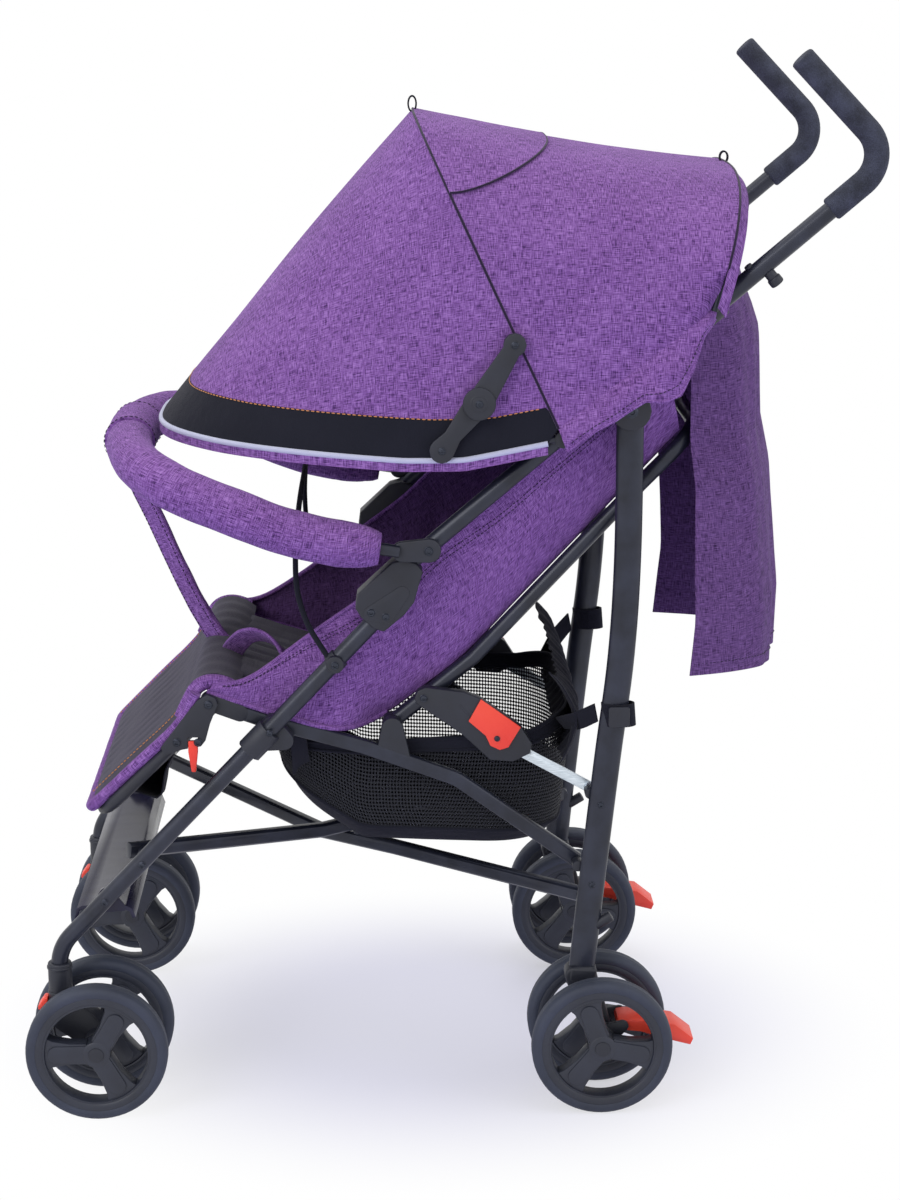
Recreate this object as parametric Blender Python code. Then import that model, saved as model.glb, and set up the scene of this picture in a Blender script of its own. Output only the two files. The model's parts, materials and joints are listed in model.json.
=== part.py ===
# Umbrella stroller with two side frames, eight wheels, a reclining seat and a folding hood.
# Metres, +Z up. The child faces -Y, the child's left is +X.
# Side views are drawn in (y, z), with y = 0 half way between the axles and z = 0 on the floor.
import math

import bmesh
import bpy
from mathutils import Quaternion, Vector


def along(start, end, distance, out=0.0):
    """The point at a distance along a side-view line, and that far out to its upper left."""
    a, b = Vector(start), Vector(end)
    run = (b - a).normalized()
    if out:
        return tuple(a + run * distance + Vector((-run.y, run.x)) * out)
    return tuple(a + run * distance)


CLEAR = 0.0003          # gap between pieces that seat on each other
SIDE_X = 0.192          # plane of the side frames, from the middle

# wheels
WHEELBASE = 0.535
WHEEL_RADIUS = 0.075
WHEEL_WIDTH = 0.024
PAIR_SPACING = 0.0767   # between the two wheels of a pair
RIM_RADIUS = 0.0659
RIM_WALL = 0.0115
HUB_RADIUS = 0.0145
AXLE_RADIUS = 0.004
WHEEL_SIDES = 24
SPOKES = 3

# tubes
TUBE_RADIUS = 0.009
GRIP_RADIUS = 0.0125
LEG_DEPTH = 0.028       # the flattened rear leg, fore and aft
LEG_THICK = 0.016
RAIL_HEIGHT = 0.016
RAIL_THICK = 0.012
BACK_TUBE_RADIUS = 0.008
CALF_TUBE_RADIUS = 0.007
BAR_HEIGHT = 0.016
BAR_THICK = 0.012
BOW_RADIUS = 0.004
HOOP_RADIUS = 0.0026
TUBE_SIDES = 10

# side frame, in side view
FRONT_AXLE_Y = -WHEELBASE / 2
REAR_AXLE_Y = WHEELBASE / 2
CASTOR_TRAIL = 0.041
BRAKE_PIVOT = (REAR_AXLE_Y + 0.0235, WHEEL_RADIUS + 0.013)
PEDAL_HALF = 0.017
SOCKET_LOW = 0.119
SOCKET_HIGH = 0.161
SOCKET_RADIUS = 0.0125
STEM_Y = FRONT_AXLE_Y - CASTOR_TRAIL
FRONT_LEG_CORNER = 0.1767
KNEE = (0.045, 0.5505)
FRONT_LEG_FOOT = along((STEM_Y, FRONT_LEG_CORNER), KNEE, 0.0589)
KNEE_HALF = 0.0125
HANDLE_LOW = (0.055, 0.5866)
HANDLE_BEND = (0.5434, 1.0022)
GRIP_TIP = (0.449, 1.0995)
GRIP_START = along(HANDLE_BEND, HANDLE_LOW, 0.0787)
GRIP_BEND_RADIUS = 0.040
GRIP_PLUG = 0.040       # how far the handle tube reaches into its grip
HINGE = along(HANDLE_LOW, HANDLE_BEND, 0.2861, -0.0249)
HINGE_RADIUS = 0.020
HINGE_PIN_RADIUS = 0.004
HINGE_WALL = 0.005
REAR_LEG = [HINGE, (HINGE[0], 0.600), (0.284, 0.492), (0.272, 0.385), (0.257, 0.241), (REAR_AXLE_Y - 0.021, 0.131)]

# seat
WIDEN = SIDE_X - 0.192    # the seat's own widths are drawn for side frames at 0.192
RAIL_X = SIDE_X - 0.023
RAIL = [(-0.150, 0.4445), (-0.087, 0.4215), (0.018, 0.391), (0.114, 0.355), (0.243, 0.262)]
BACK_X = SIDE_X - 0.041
BACK_PIVOT = (0.047, 0.412)
BACK_TUBE = [BACK_PIVOT, (0.132, 0.482), (0.305, 0.668), (0.363, 0.727)]
CALF_PIVOT = (-0.144, 0.443)
CALF_X = SIDE_X - 0.022
CALF_TUBE = [(-0.168, 0.409), (-0.262, 0.3165)]
RECLINE_PIVOT = (0.080, 0.441)
STRIP_PIN = (0.255, 0.343)
STRIP_WIDTH = 0.012
STRIP_THICK = 0.002
STRIP_LENGTH = 0.150

# lower cross bars
BAR_REAR = (0.251, 0.2195)
BAR_LUG = along(FRONT_LEG_FOOT, KNEE, 0.0736)
BAR_FRONT = (BAR_LUG[0] - 0.017, BAR_LUG[1] + 0.002)
BAR_MIDDLE_HIGH = 0.2465
BAR_MIDDLE_LOW = 0.2255
BAR_REACH = SIDE_X - 0.029

# bumper
BUMPER_PIVOT = (0.085, 0.6121)
BUMPER_TUBE_RADIUS = 0.0065
BUMPER_X = SIDE_X + KNEE_HALF + CLEAR + BUMPER_TUBE_RADIUS + 0.0003
SLEEVE_RADIUS = 0.024
SLEEVE_BORE = 0.0072
BUMPER_LEAD = 0.034       # the bar's middle lies this far ahead of the hood's front

# hood
HOOD_PIVOT = (0.220, 0.727)
HOOD_WALL = 0.003
HOOD_BOX = 2.8          # how square the arches are
MAIN_BOW_REACH = 0.344
MAIN_BOW_ANGLE = 115.2
FRONT_BOW_REACH = 0.418
FRONT_BOW_ANGLE = 181.0
REAR_BOW_REACH = 0.135
REAR_BOW_ANGLE = 75.0
REAR_BOW_BASE = along(HANDLE_LOW, HANDLE_BEND, 0.4123)
BOW_INSET = 0.010
MAIN_BOW_X = SIDE_X + TUBE_RADIUS + CLEAR + BOW_RADIUS
EYE_SPLIT = MAIN_BOW_X + BOW_RADIUS
FRONT_BOW_X = EYE_SPLIT + CLEAR + BOW_RADIUS + 0.0004
HOOD_HALF = FRONT_BOW_X + BOW_RADIUS + HOOD_WALL + 0.001
FRONT_BOW_INSET = 0.0135
FRONT_BOW_DROP = 0.5    # degrees below the piping
ELBOW_LOW = (0.098, 0.7175)
ELBOW = (0.135, 0.766)
ELBOW_HIGH = (0.170, 0.824)
HEM_DIP = 0.018
HEM_LIP = 0.008

COLOURS = {
    "frame": ((0.030, 0.034, 0.042), 0.38, 0.6),
    "plastic": ((0.018, 0.020, 0.024), 0.50, 0.0),
    "foam": ((0.020, 0.020, 0.022), 0.90, 0.0),
    "tyre": ((0.035, 0.036, 0.040), 0.75, 0.0),
    "red": ((0.85, 0.07, 0.04), 0.35, 0.0),
    "steel": ((0.62, 0.68, 0.72), 0.30, 1.0),
    "purple": ((0.21, 0.085, 0.33), 0.85, 0.0),
    "charcoal": ((0.070, 0.066, 0.070), 0.85, 0.0),
    "mesh": ((0.015, 0.015, 0.020), 0.80, 0.0),
}


def clear_scene():
    for item in list(bpy.data.objects):
        bpy.data.objects.remove(item, do_unlink=True)


def material_for(name, kind):
    colour, roughness, metallic = COLOURS[kind]
    material = bpy.data.materials.new(name)
    material.use_nodes = True
    shader = material.node_tree.nodes["Principled BSDF"]
    shader.inputs["Base Color"].default_value = (*colour, 1.0)
    shader.inputs["Roughness"].default_value = roughness
    shader.inputs["Metallic"].default_value = metallic
    return material


def add_object(name, bm, kind=None, parent=None):
    """Turn a bmesh into an object. With no kind it is a cutter."""
    bmesh.ops.recalc_face_normals(bm, faces=bm.faces[:])
    if bm.calc_volume(signed=True) < 0:
        bmesh.ops.reverse_faces(bm, faces=bm.faces[:])
    mesh = bpy.data.meshes.new(name)
    bm.to_mesh(mesh)
    bm.free()
    item = bpy.data.objects.new(name, mesh)
    bpy.context.scene.collection.objects.link(item)
    if kind is None:
        item.hide_render = True
        item.display_type = "WIRE"
    else:
        mesh.materials.append(material_for(name, kind))
        mesh.shade_smooth()
        mesh.set_sharp_from_angle(angle=math.radians(35))
    if parent is not None:
        item.parent = parent
        item.matrix_parent_inverse = parent.matrix_world.inverted()
    return item


def add_empty(name, place, parent=None):
    item = bpy.data.objects.new(name, None)
    item.empty_display_size = 0.02
    bpy.context.scene.collection.objects.link(item)
    item.location = place
    bpy.context.view_layer.update()
    if parent is not None:
        item.parent = parent
        item.matrix_parent_inverse = parent.matrix_world.inverted()
    bpy.context.view_layer.update()
    return item


def boolean(item, other, operation):
    step = item.modifiers.new(operation.lower(), "BOOLEAN")
    step.operation = operation
    step.solver = "EXACT"
    step.object = other


def cut(item, *cutters):
    for cutter in cutters:
        boolean(item, cutter, "DIFFERENCE")


def join(item, *others):
    for other in others:
        boolean(item, other, "UNION")


# plain shapes, made as bmeshes

def circle_section(radius, sides=TUBE_SIDES):
    step = 2 * math.pi / sides
    return [(radius * math.cos(i * step), radius * math.sin(i * step)) for i in range(sides)]


def oval_section(width, height, sides=TUBE_SIDES + 2):
    step = 2 * math.pi / sides
    return [(width / 2 * math.cos(i * step), height / 2 * math.sin(i * step)) for i in range(sides)]


def box_section(width, height, corner=0.002):
    w, h = width / 2, height / 2
    return [(w, -h + corner), (w, h - corner), (w - corner, h), (-w + corner, h),
            (-w, h - corner), (-w, -h + corner), (-w + corner, -h), (w - corner, -h)]


def round_corners(points, radius, steps=5):
    """Replace each inner corner of a 3-D polyline by an arc."""
    points = [Vector(p) for p in points]
    out = [points[0]]
    for before, corner, after in zip(points, points[1:], points[2:]):
        into = (before - corner).normalized()
        away = (after - corner).normalized()
        half = into.angle(away) / 2
        if half > math.radians(89.0):
            out.append(corner)
            continue
        reach = min(radius / math.tan(half), 0.48 * (before - corner).length, 0.48 * (after - corner).length)
        bend = reach * math.tan(half)
        centre = corner + (into + away).normalized() * (bend / math.sin(half))
        first = corner + into * reach - centre
        last = corner + away * reach - centre
        turn = first.angle(last)
        axis = first.cross(last).normalized()
        for i in range(steps + 1):
            spoke = first.copy()
            spoke.rotate(Quaternion(axis, turn * i / steps))
            out.append(centre + spoke)
    out.append(points[-1])
    return out


def sweep(points, section, side=(1, 0, 0), closed=False):
    """Carry a section along a path. The section's first axis stays near the given side."""
    points = [Vector(p) for p in points]
    side = Vector(side)
    bm = bmesh.new()
    rings = []
    count = len(points)
    for i, point in enumerate(points):
        back = points[i] - points[i - 1] if i > 0 else points[1] - points[0]
        ahead = points[i + 1] - points[i] if i < count - 1 else back
        tangent = (back.normalized() + ahead.normalized()).normalized()
        across = (side - tangent * side.dot(tangent)).normalized()
        up = tangent.cross(across)
        stretch = 1.0 / max(0.5, tangent.dot(ahead.normalized()))
        bend = (ahead.normalized() - back.normalized())
        ring = []
        for a, b in section:
            offset = across * a + up * b
            if bend.length > 1e-5:
                bend_side = bend.normalized()
                offset += bend_side * offset.dot(bend_side) * (stretch - 1.0)
            ring.append(bm.verts.new(point + offset))
        rings.append(ring)
    for low, high in zip(rings, rings[1:]):
        for j in range(len(section)):
            k = (j + 1) % len(section)
            bm.faces.new((low[j], low[k], high[k], high[j]))
    bm.faces.new(rings[0])
    bm.faces.new(rings[-1])
    return bm


def plate(outline, x_low, x_high):
    """Extrude a side-view outline across the stroller."""
    bm = bmesh.new()
    low = [bm.verts.new((x_low, y, z)) for y, z in outline]
    high = [bm.verts.new((x_high, y, z)) for y, z in outline]
    bm.faces.new(low)
    bm.faces.new(high)
    for i in range(len(outline)):
        k = (i + 1) % len(outline)
        bm.faces.new((low[i], low[k], high[k], high[i]))
    return bm


def cross_pin(centre, radius, x_low, x_high, sides=12, turn=0.0):
    step = 2 * math.pi / sides
    outline = [(centre[0] + radius * math.cos(i * step + turn), centre[1] + radius * math.sin(i * step + turn))
               for i in range(sides)]
    return plate(outline, x_low, x_high)


def upright_pin(centre_x, centre_y, radius, z_low, z_high, sides=12):
    points = [(centre_x, centre_y, z_low), (centre_x, centre_y, z_high)]
    return sweep(points, circle_section(radius, sides))


def round_hull(circles, steps=4):
    """The outline round some circles (y, z, radius), as a belt goes round pulleys."""
    points = []
    for y, z, radius in circles:
        for i in range(steps * 4):
            angle = 2 * math.pi * i / (steps * 4)
            points.append((y + radius * math.cos(angle), z + radius * math.sin(angle)))
    points = sorted(set(points))

    def half(run):
        kept = []
        for p in run:
            while len(kept) > 1:
                a, b = kept[-2], kept[-1]
                if (b[0] - a[0]) * (p[1] - a[1]) - (b[1] - a[1]) * (p[0] - a[0]) > 1e-9:
                    break
                kept.pop()
            kept.append(p)
        return kept[:-1]

    return half(points) + half(points[::-1])


def mirrored(points, sign):
    return [(sign * p[0], p[1], p[2]) for p in points]


def side_path(points, x):
    return [(x, y, z) for y, z in points]


# side frames

def front_leg(sign, name, root):
    x = sign * SIDE_X
    path = [(STEM_Y, SOCKET_LOW + 0.012), (STEM_Y, FRONT_LEG_CORNER), KNEE]
    leg = add_object(name, sweep(round_corners(side_path(path, x), 0.05), circle_section(TUBE_RADIUS)),
                     "frame", root)
    socket = upright_pin(x, STEM_Y, SOCKET_RADIUS, SOCKET_LOW, SOCKET_HIGH)
    join(leg, add_object(name + "_socket", socket))
    return leg


def handle_tube(sign, name, root):
    x = sign * SIDE_X
    end = along(GRIP_START, HANDLE_BEND, GRIP_PLUG)
    return add_object(name, sweep(side_path([HANDLE_LOW, end], x), circle_section(TUBE_RADIUS)), "frame", root)


def grip(sign, name, root):
    x = sign * SIDE_X
    path = round_corners(side_path([GRIP_START, HANDLE_BEND, GRIP_TIP], x), GRIP_BEND_RADIUS, 7)
    tip = Vector(path[-1]) - Vector(path[-2])
    path = path[:-1] + [Vector(path[-1]) - tip.normalized() * 0.004, path[-1]]
    bm = sweep(path, circle_section(GRIP_RADIUS, 12))
    item = add_object(name, bm, "foam", root)
    start = along(GRIP_START, HANDLE_LOW, 0.01)
    end = along(GRIP_START, HANDLE_BEND, GRIP_PLUG + CLEAR)
    cut(item, add_object(name + "_bore", sweep(side_path([start, end], x),
                                               circle_section(TUBE_RADIUS + CLEAR))))
    return item


def knee_bracket(sign, name, root):
    x = sign * SIDE_X
    outline = [(0.061, 0.602), (0.073, 0.597), (0.079, 0.588), (0.070, 0.556), (0.060, 0.543), (0.039, 0.525),
               (0.028, 0.529), (0.016, 0.540), (0.010, 0.550), (0.012, 0.565), (0.047, 0.598)]
    item = add_object(name, plate(outline, x - KNEE_HALF, x + KNEE_HALF), "plastic", root)
    for tag, start, end in (("leg", FRONT_LEG_FOOT, along(KNEE, FRONT_LEG_FOOT, -CLEAR)),
                            ("handle", along(HANDLE_LOW, HANDLE_BEND, -CLEAR), HANDLE_BEND)):
        bore = sweep(side_path([start, end], x), circle_section(TUBE_RADIUS + CLEAR))
        cut(item, add_object(name + "_" + tag + "_bore", bore))
    return item


def tee_bracket(sign, name, root):
    """Collar round the front leg with an arm that carries the seat rail."""
    x = sign * SIDE_X
    low, high = along(KNEE, FRONT_LEG_FOOT, 0.2146), along(KNEE, FRONT_LEG_FOOT, 0.1826)
    middle = along(KNEE, FRONT_LEG_FOOT, 0.1986)
    item = add_object(name, sweep(side_path([low, high], x), circle_section(TUBE_RADIUS + 0.005)),
                      "plastic", root)
    outline = round_hull([(middle[0] - 0.0026, middle[1] - 0.0022, 0.010), (-0.066, 0.405, 0.010),
                          (-0.078, 0.423, 0.008)])
    inner = RAIL_X + RAIL_THICK / 2 + CLEAR
    arm = plate(outline, min(sign * inner, x), max(sign * inner, x))
    join(item, add_object(name + "_arm", arm))
    bore = sweep(side_path([FRONT_LEG_FOOT, KNEE], x), circle_section(TUBE_RADIUS + CLEAR))
    cut(item, add_object(name + "_bore", bore))
    return item


def top_hinge(sign, name, root):
    """Saddle over the handle tube, whose two cheeks hold the pin of the rear leg."""
    x = sign * SIDE_X
    run = (Vector(HANDLE_BEND) - Vector(HANDLE_LOW)).normalized()
    square = Vector((-run.y, run.x))
    foot = Vector(HANDLE_LOW) + run * (Vector(HINGE) - Vector(HANDLE_LOW)).dot(run)
    half_length = 0.019
    half_width = TUBE_RADIUS + CLEAR + HINGE_WALL
    top = TUBE_RADIUS + CLEAR + 0.004
    a, b = foot - run * half_length, foot + run * half_length
    outline = round_hull([(*(a + square * (top - 0.003)), 0.003), (*(b + square * (top - 0.003)), 0.003),
                          (*HINGE, HINGE_RADIUS)])
    item = add_object(name, plate(outline, x - half_width, x + half_width), "plastic", root)
    inner = TUBE_RADIUS + CLEAR
    roof = square * inner
    cavity = [tuple(foot - run * 0.1 + roof), tuple(foot + run * 0.1 + roof),
              tuple(foot + run * 0.1 - square * 0.1), tuple(foot - run * 0.1 - square * 0.1)]
    cut(item, add_object(name + "_cavity", plate(cavity, x - inner, x + inner)))
    pin = cross_pin(HINGE, HINGE_PIN_RADIUS, x - inner - 0.001, x + inner + 0.001)
    join(item, add_object(name + "_pin", pin))
    return item


def rear_leg(sign, name, root):
    x = sign * SIDE_X
    section = oval_section(LEG_THICK, LEG_DEPTH)
    leg = add_object(name, sweep(side_path(REAR_LEG, x), section), "frame", root)
    head = cross_pin(HINGE, LEG_DEPTH / 2, x - LEG_THICK / 2, x + LEG_THICK / 2, 16)
    foot = REAR_LEG[-1]
    axle = (REAR_AXLE_Y, WHEEL_RADIUS)
    housing_half = PAIR_SPACING / 2 - WHEEL_WIDTH / 2 - CLEAR
    neck = plate(round_hull([(foot[0] - 0.007, foot[1] + 0.008, 0.008), (foot[0] + 0.007, foot[1] + 0.008, 0.008),
                             (*axle, 0.014)]), x - 0.0095, x + 0.0095)
    boss = cross_pin(axle, 0.016, x - housing_half, x + housing_half)
    stub_half = PAIR_SPACING / 2 + WHEEL_WIDTH / 2
    stub = cross_pin(axle, AXLE_RADIUS, x - stub_half, x + stub_half)
    join(leg, add_object(name + "_head", head), add_object(name + "_neck", neck),
         add_object(name + "_boss", boss), add_object(name + "_axle", stub))
    for tag, low in (("in", -PEDAL_HALF - CLEAR - 0.004), ("out", PEDAL_HALF + CLEAR)):
        ear = plate(round_hull([(*axle, 0.014), (*BRAKE_PIVOT, 0.006)]), x + low, x + low + 0.004)
        join(leg, add_object(name + "_ear_" + tag, ear))
    pin_half = PEDAL_HALF + CLEAR + 0.002
    join(leg, add_object(name + "_brake_pin", cross_pin(BRAKE_PIVOT, 0.0028, x - pin_half, x + pin_half, 10)))
    inner = sign * (SIDE_X - 0.002)
    strip_face = sign * (RAIL_X + RAIL_THICK / 2 + CLEAR)
    for tag, pin_at in (("strip", STRIP_PIN), ("rail", RAIL[-1]), ("bar", BAR_REAR)):
        boss = cross_pin(pin_at, 0.006, min(strip_face, inner), max(strip_face, inner), 10)
        join(leg, add_object(name + "_" + tag + "_boss", boss))
    bore = cross_pin(HINGE, HINGE_PIN_RADIUS + CLEAR, x - LEG_THICK, x + LEG_THICK)
    cut(leg, add_object(name + "_pivot_hole", bore))
    return leg


def castor_fork(sign, name, pivot):
    x = sign * SIDE_X
    axle = (FRONT_AXLE_Y, WHEEL_RADIUS)
    housing_half = PAIR_SPACING / 2 - WHEEL_WIDTH / 2 - CLEAR
    top = SOCKET_LOW - CLEAR
    outline = [(STEM_Y - 0.013, top), (STEM_Y + 0.013, top), (STEM_Y + 0.030, top - 0.010),
               (axle[0] + 0.014, axle[1] + 0.010), (axle[0] + 0.010, axle[1] - 0.012),
               (axle[0] - 0.010, axle[1] - 0.012), (STEM_Y - 0.004, top - 0.030), (STEM_Y - 0.013, top - 0.020)]
    fork = add_object(name, plate(outline, x - 0.012, x + 0.012), "plastic", pivot)
    boss = cross_pin(axle, 0.016, x - housing_half, x + housing_half)
    stub_half = PAIR_SPACING / 2 + WHEEL_WIDTH / 2
    join(fork, add_object(name + "_boss", boss),
         add_object(name + "_axle", cross_pin(axle, AXLE_RADIUS, x - stub_half, x + stub_half)))
    return fork


def swivel_lock(sign, name, pivot):
    x = sign * SIDE_X
    front = STEM_Y - 0.013 - CLEAR
    high = SOCKET_LOW + 0.003
    low = SOCKET_LOW - 0.009
    outline = [(front, low), (front, high), (front - 0.004, high), (front - 0.0105, low + 0.003),
               (front - 0.0105, low - 0.001)]
    return add_object(name, plate(outline, x - 0.008, x + 0.008), "red", pivot)


def brake_pedal(sign, name, pivot):
    x = sign * SIDE_X
    y, z = BRAKE_PIVOT
    outline = [(y - 0.006, z), (y - 0.004, z + 0.0045), (y + 0.004, z + 0.006), (y + 0.033, z + 0.004),
               (y + 0.056, z + 0.000), (y + 0.077, z - 0.017), (y + 0.074, z - 0.024), (y + 0.048, z - 0.017),
               (y + 0.020, z - 0.008), (y - 0.003, z - 0.0055)]
    pedal = add_object(name, plate(outline, x - PEDAL_HALF, x + PEDAL_HALF), "red", pivot)
    cut(pedal, add_object(name + "_hole", cross_pin(BRAKE_PIVOT, 0.0028 + CLEAR, x - 0.03, x + 0.03, 10)))
    return pedal


# wheels

def wheel(name, x, y, pivot):
    """A tyre ring, three tapered spokes and a hub, turned about the axle's own line."""
    z = WHEEL_RADIUS
    half = WHEEL_WIDTH / 2
    flat = math.pi / WHEEL_SIDES
    rim_inner = RIM_RADIUS - RIM_WALL
    profile = [(-half + 0.005, WHEEL_RADIUS), (half - 0.005, WHEEL_RADIUS), (half, WHEEL_RADIUS - 0.006),
               (half - 0.001, rim_inner), (-half + 0.001, rim_inner), (-half, WHEEL_RADIUS - 0.006)]
    bm = bmesh.new()
    rings = []
    for i in range(WHEEL_SIDES):
        angle = 2 * math.pi * i / WHEEL_SIDES - math.pi / 2 + flat
        rings.append([bm.verts.new((x + a, y + r / math.cos(flat) * math.cos(angle),
                                    z + r / math.cos(flat) * math.sin(angle))) for a, r in profile])
    for i in range(WHEEL_SIDES):
        low, high = rings[i], rings[(i + 1) % WHEEL_SIDES]
        for j in range(len(profile)):
            k = (j + 1) % len(profile)
            bm.faces.new((low[j], low[k], high[k], high[j]))
    item = add_object(name, bm, "tyre", pivot)
    hub = add_object(name + "_hub", cross_pin((y, z), HUB_RADIUS, x - half + 0.001, x + half - 0.001, 12))
    join(item, hub)
    for i in range(SPOKES):
        angle = math.radians(60 if y < 0 else 110) + 2 * math.pi * i / SPOKES
        out = Vector((math.cos(angle), math.sin(angle)))
        side = Vector((-out.y, out.x))
        start, end = out * (HUB_RADIUS - 0.006), out * (rim_inner + 0.004)
        outline = [tuple(Vector((y, z)) + p) for p in (start - side * 0.010, end - side * 0.017,
                                                       end + side * 0.017, start + side * 0.010)]
        join(item, add_object(name + "_spoke_%d" % i, plate(outline, x - half + 0.003, x + half - 0.003)))
    bore = cross_pin((y, z), AXLE_RADIUS + CLEAR, x - WHEEL_WIDTH, x + WHEEL_WIDTH)
    cut(item, add_object(name + "_bore", bore))
    return item


# seat frame

def seat_rail(sign, name, root):
    x = sign * RAIL_X
    section = box_section(RAIL_THICK, RAIL_HEIGHT, 0.003)
    rail = add_object(name, sweep(round_corners(side_path(RAIL, x), 0.05, 3), section), "frame", root)
    ear_x = sign * (BACK_X + BACK_TUBE_RADIUS + CLEAR)
    outer = sign * (RAIL_X + RAIL_THICK / 2 - 0.001)
    y, z = BACK_PIVOT
    outline = [(y - 0.017, z - 0.030), (y + 0.017, z - 0.040)]
    outline += [p for p in round_hull([(y, z, 0.011)]) if p[1] > z - 0.004]
    outline = round_hull([(p[0], p[1], 0.0005) for p in outline], 1)
    ear = plate(outline, min(ear_x, outer), max(ear_x, outer))
    join(rail, add_object(name + "_ear", ear))
    return rail


def backrest_frame(name, root):
    top = BACK_TUBE[-1]
    path = side_path(BACK_TUBE, BACK_X) + side_path(BACK_TUBE[::-1], -BACK_X)
    frame = add_object(name, sweep(round_corners(path, 0.045, 4), circle_section(BACK_TUBE_RADIUS)),
                       "frame", root)
    for sign in (1, -1):
        eye = cross_pin(BACK_PIVOT, 0.010, sign * BACK_X - BACK_TUBE_RADIUS, sign * BACK_X + BACK_TUBE_RADIUS)
        join(frame, add_object(name + "_eye_%d" % sign, eye))
        step = cross_pin(RECLINE_PIVOT, 0.006, sign * BACK_X - 0.004, sign * BACK_X + 0.004)
        join(frame, add_object(name + "_lug_%d" % sign, step))
    return frame


def recline_housing(sign, name, pivot):
    low = BACK_X + BACK_TUBE_RADIUS + CLEAR
    high = low + 0.0125
    outline = [(0.070, 0.444), (0.074, 0.452), (0.082, 0.4555), (0.122, 0.450), (0.139, 0.443), (0.182, 0.412),
               (0.194, 0.393), (0.192, 0.382), (0.174, 0.373), (0.150, 0.375), (0.120, 0.404), (0.073, 0.4375)]
    item = add_object(name, plate(outline, *sorted((sign * low, sign * high))), "plastic", pivot)
    slot = strip_outline(-0.001, STRIP_LENGTH + 0.018, CLEAR)
    x_low = low + 0.0055 - CLEAR
    x_high = low + 0.0055 + STRIP_THICK + CLEAR
    cut(item, add_object(name + "_slot", plate(slot, *sorted((sign * x_low, sign * x_high)))))
    return item


def strip_outline(start, length, grow=0.0):
    run = (Vector(RECLINE_PIVOT) - Vector(STRIP_PIN)).normalized()
    side = Vector((-run.y, run.x)) * (STRIP_WIDTH / 2 + grow)
    a = Vector(STRIP_PIN) + run * start
    b = Vector(STRIP_PIN) + run * length
    return [tuple(a - side), tuple(b - side), tuple(b + side), tuple(a + side)]


def recline_strip(sign, name, pivot):
    low = BACK_X + BACK_TUBE_RADIUS + CLEAR + 0.0055
    strip = plate(strip_outline(-0.008, STRIP_LENGTH), *sorted((sign * low, sign * (low + STRIP_THICK))))
    item = add_object(name, strip, "steel", pivot)
    outer = RAIL_X + RAIL_THICK / 2
    washer = cross_pin(STRIP_PIN, 0.0055, *sorted((sign * low, sign * outer)), 10)
    join(item, add_object(name + "_washer", washer))
    return item


def recline_lever(sign, name, pivot):
    low = BACK_X + BACK_TUBE_RADIUS + CLEAR + 0.0125 + CLEAR
    outline = [(0.140, 0.4430), (0.182, 0.4120), (0.169, 0.3900), (0.160, 0.3870), (0.150, 0.3920),
               (0.145, 0.4030), (0.127, 0.4190)]
    return add_object(name, plate(outline, *sorted((sign * low, sign * (low + 0.0025)))), "red", pivot)


def legrest_frame(name, pivot):
    """A U of tube under the calves, with a side plate on each pivot bolt."""
    path = side_path(CALF_TUBE, CALF_X) + side_path(CALF_TUBE[::-1], -CALF_X)
    frame = add_object(name, sweep(round_corners(path, 0.035, 4), circle_section(CALF_TUBE_RADIUS)),
                       "frame", pivot)
    outline = [(-0.145, 0.4525), (-0.137, 0.4490), (-0.1345, 0.4420), (-0.143, 0.4210), (-0.148, 0.4030),
               (-0.153, 0.3965), (-0.173, 0.3930), (-0.191, 0.3870), (-0.195, 0.3950), (-0.165, 0.4350),
               (-0.155, 0.4470)]
    y, z = TRIGGER_TOP
    for sign in (1, -1):
        low = RAIL_X + RAIL_THICK / 2 + CLEAR
        cheek = plate(outline, *sorted((sign * low, sign * (low + 0.0065))))
        join(frame, add_object(name + "_cheek_%d" % sign, cheek))
        half = TRIGGER_WIDTH / 2 + CLEAR
        pocket = [(y - half, z - 0.020), (y + half, z - 0.020), (y + half, z + TRIGGER_TRAVEL + CLEAR),
                  (y - half, z + TRIGGER_TRAVEL + CLEAR)]
        cut(frame, add_object(name + "_pocket_%d" % sign, plate(pocket, *sorted((sign * (low - 0.001),
                                                                                 sign * (low + 0.010))))))
    return frame


TRIGGER_TOP = (-0.1615, 0.402)
TRIGGER_WIDTH = 0.010
TRIGGER_TRAVEL = 0.004


def legrest_trigger(sign, name, pivot):
    low = RAIL_X + RAIL_THICK / 2 + CLEAR + 0.0005
    y, z = TRIGGER_TOP
    half = TRIGGER_WIDTH / 2
    outline = [(y - half, z - 0.012), (y - half, z), (y + half, z), (y + half, z - 0.012),
               (y + 0.0025, z - 0.034), (y - 0.002, z - 0.034)]
    return add_object(name, plate(outline, *sorted((sign * low, sign * (low + 0.0055)))), "red", pivot)


# lower frame

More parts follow.
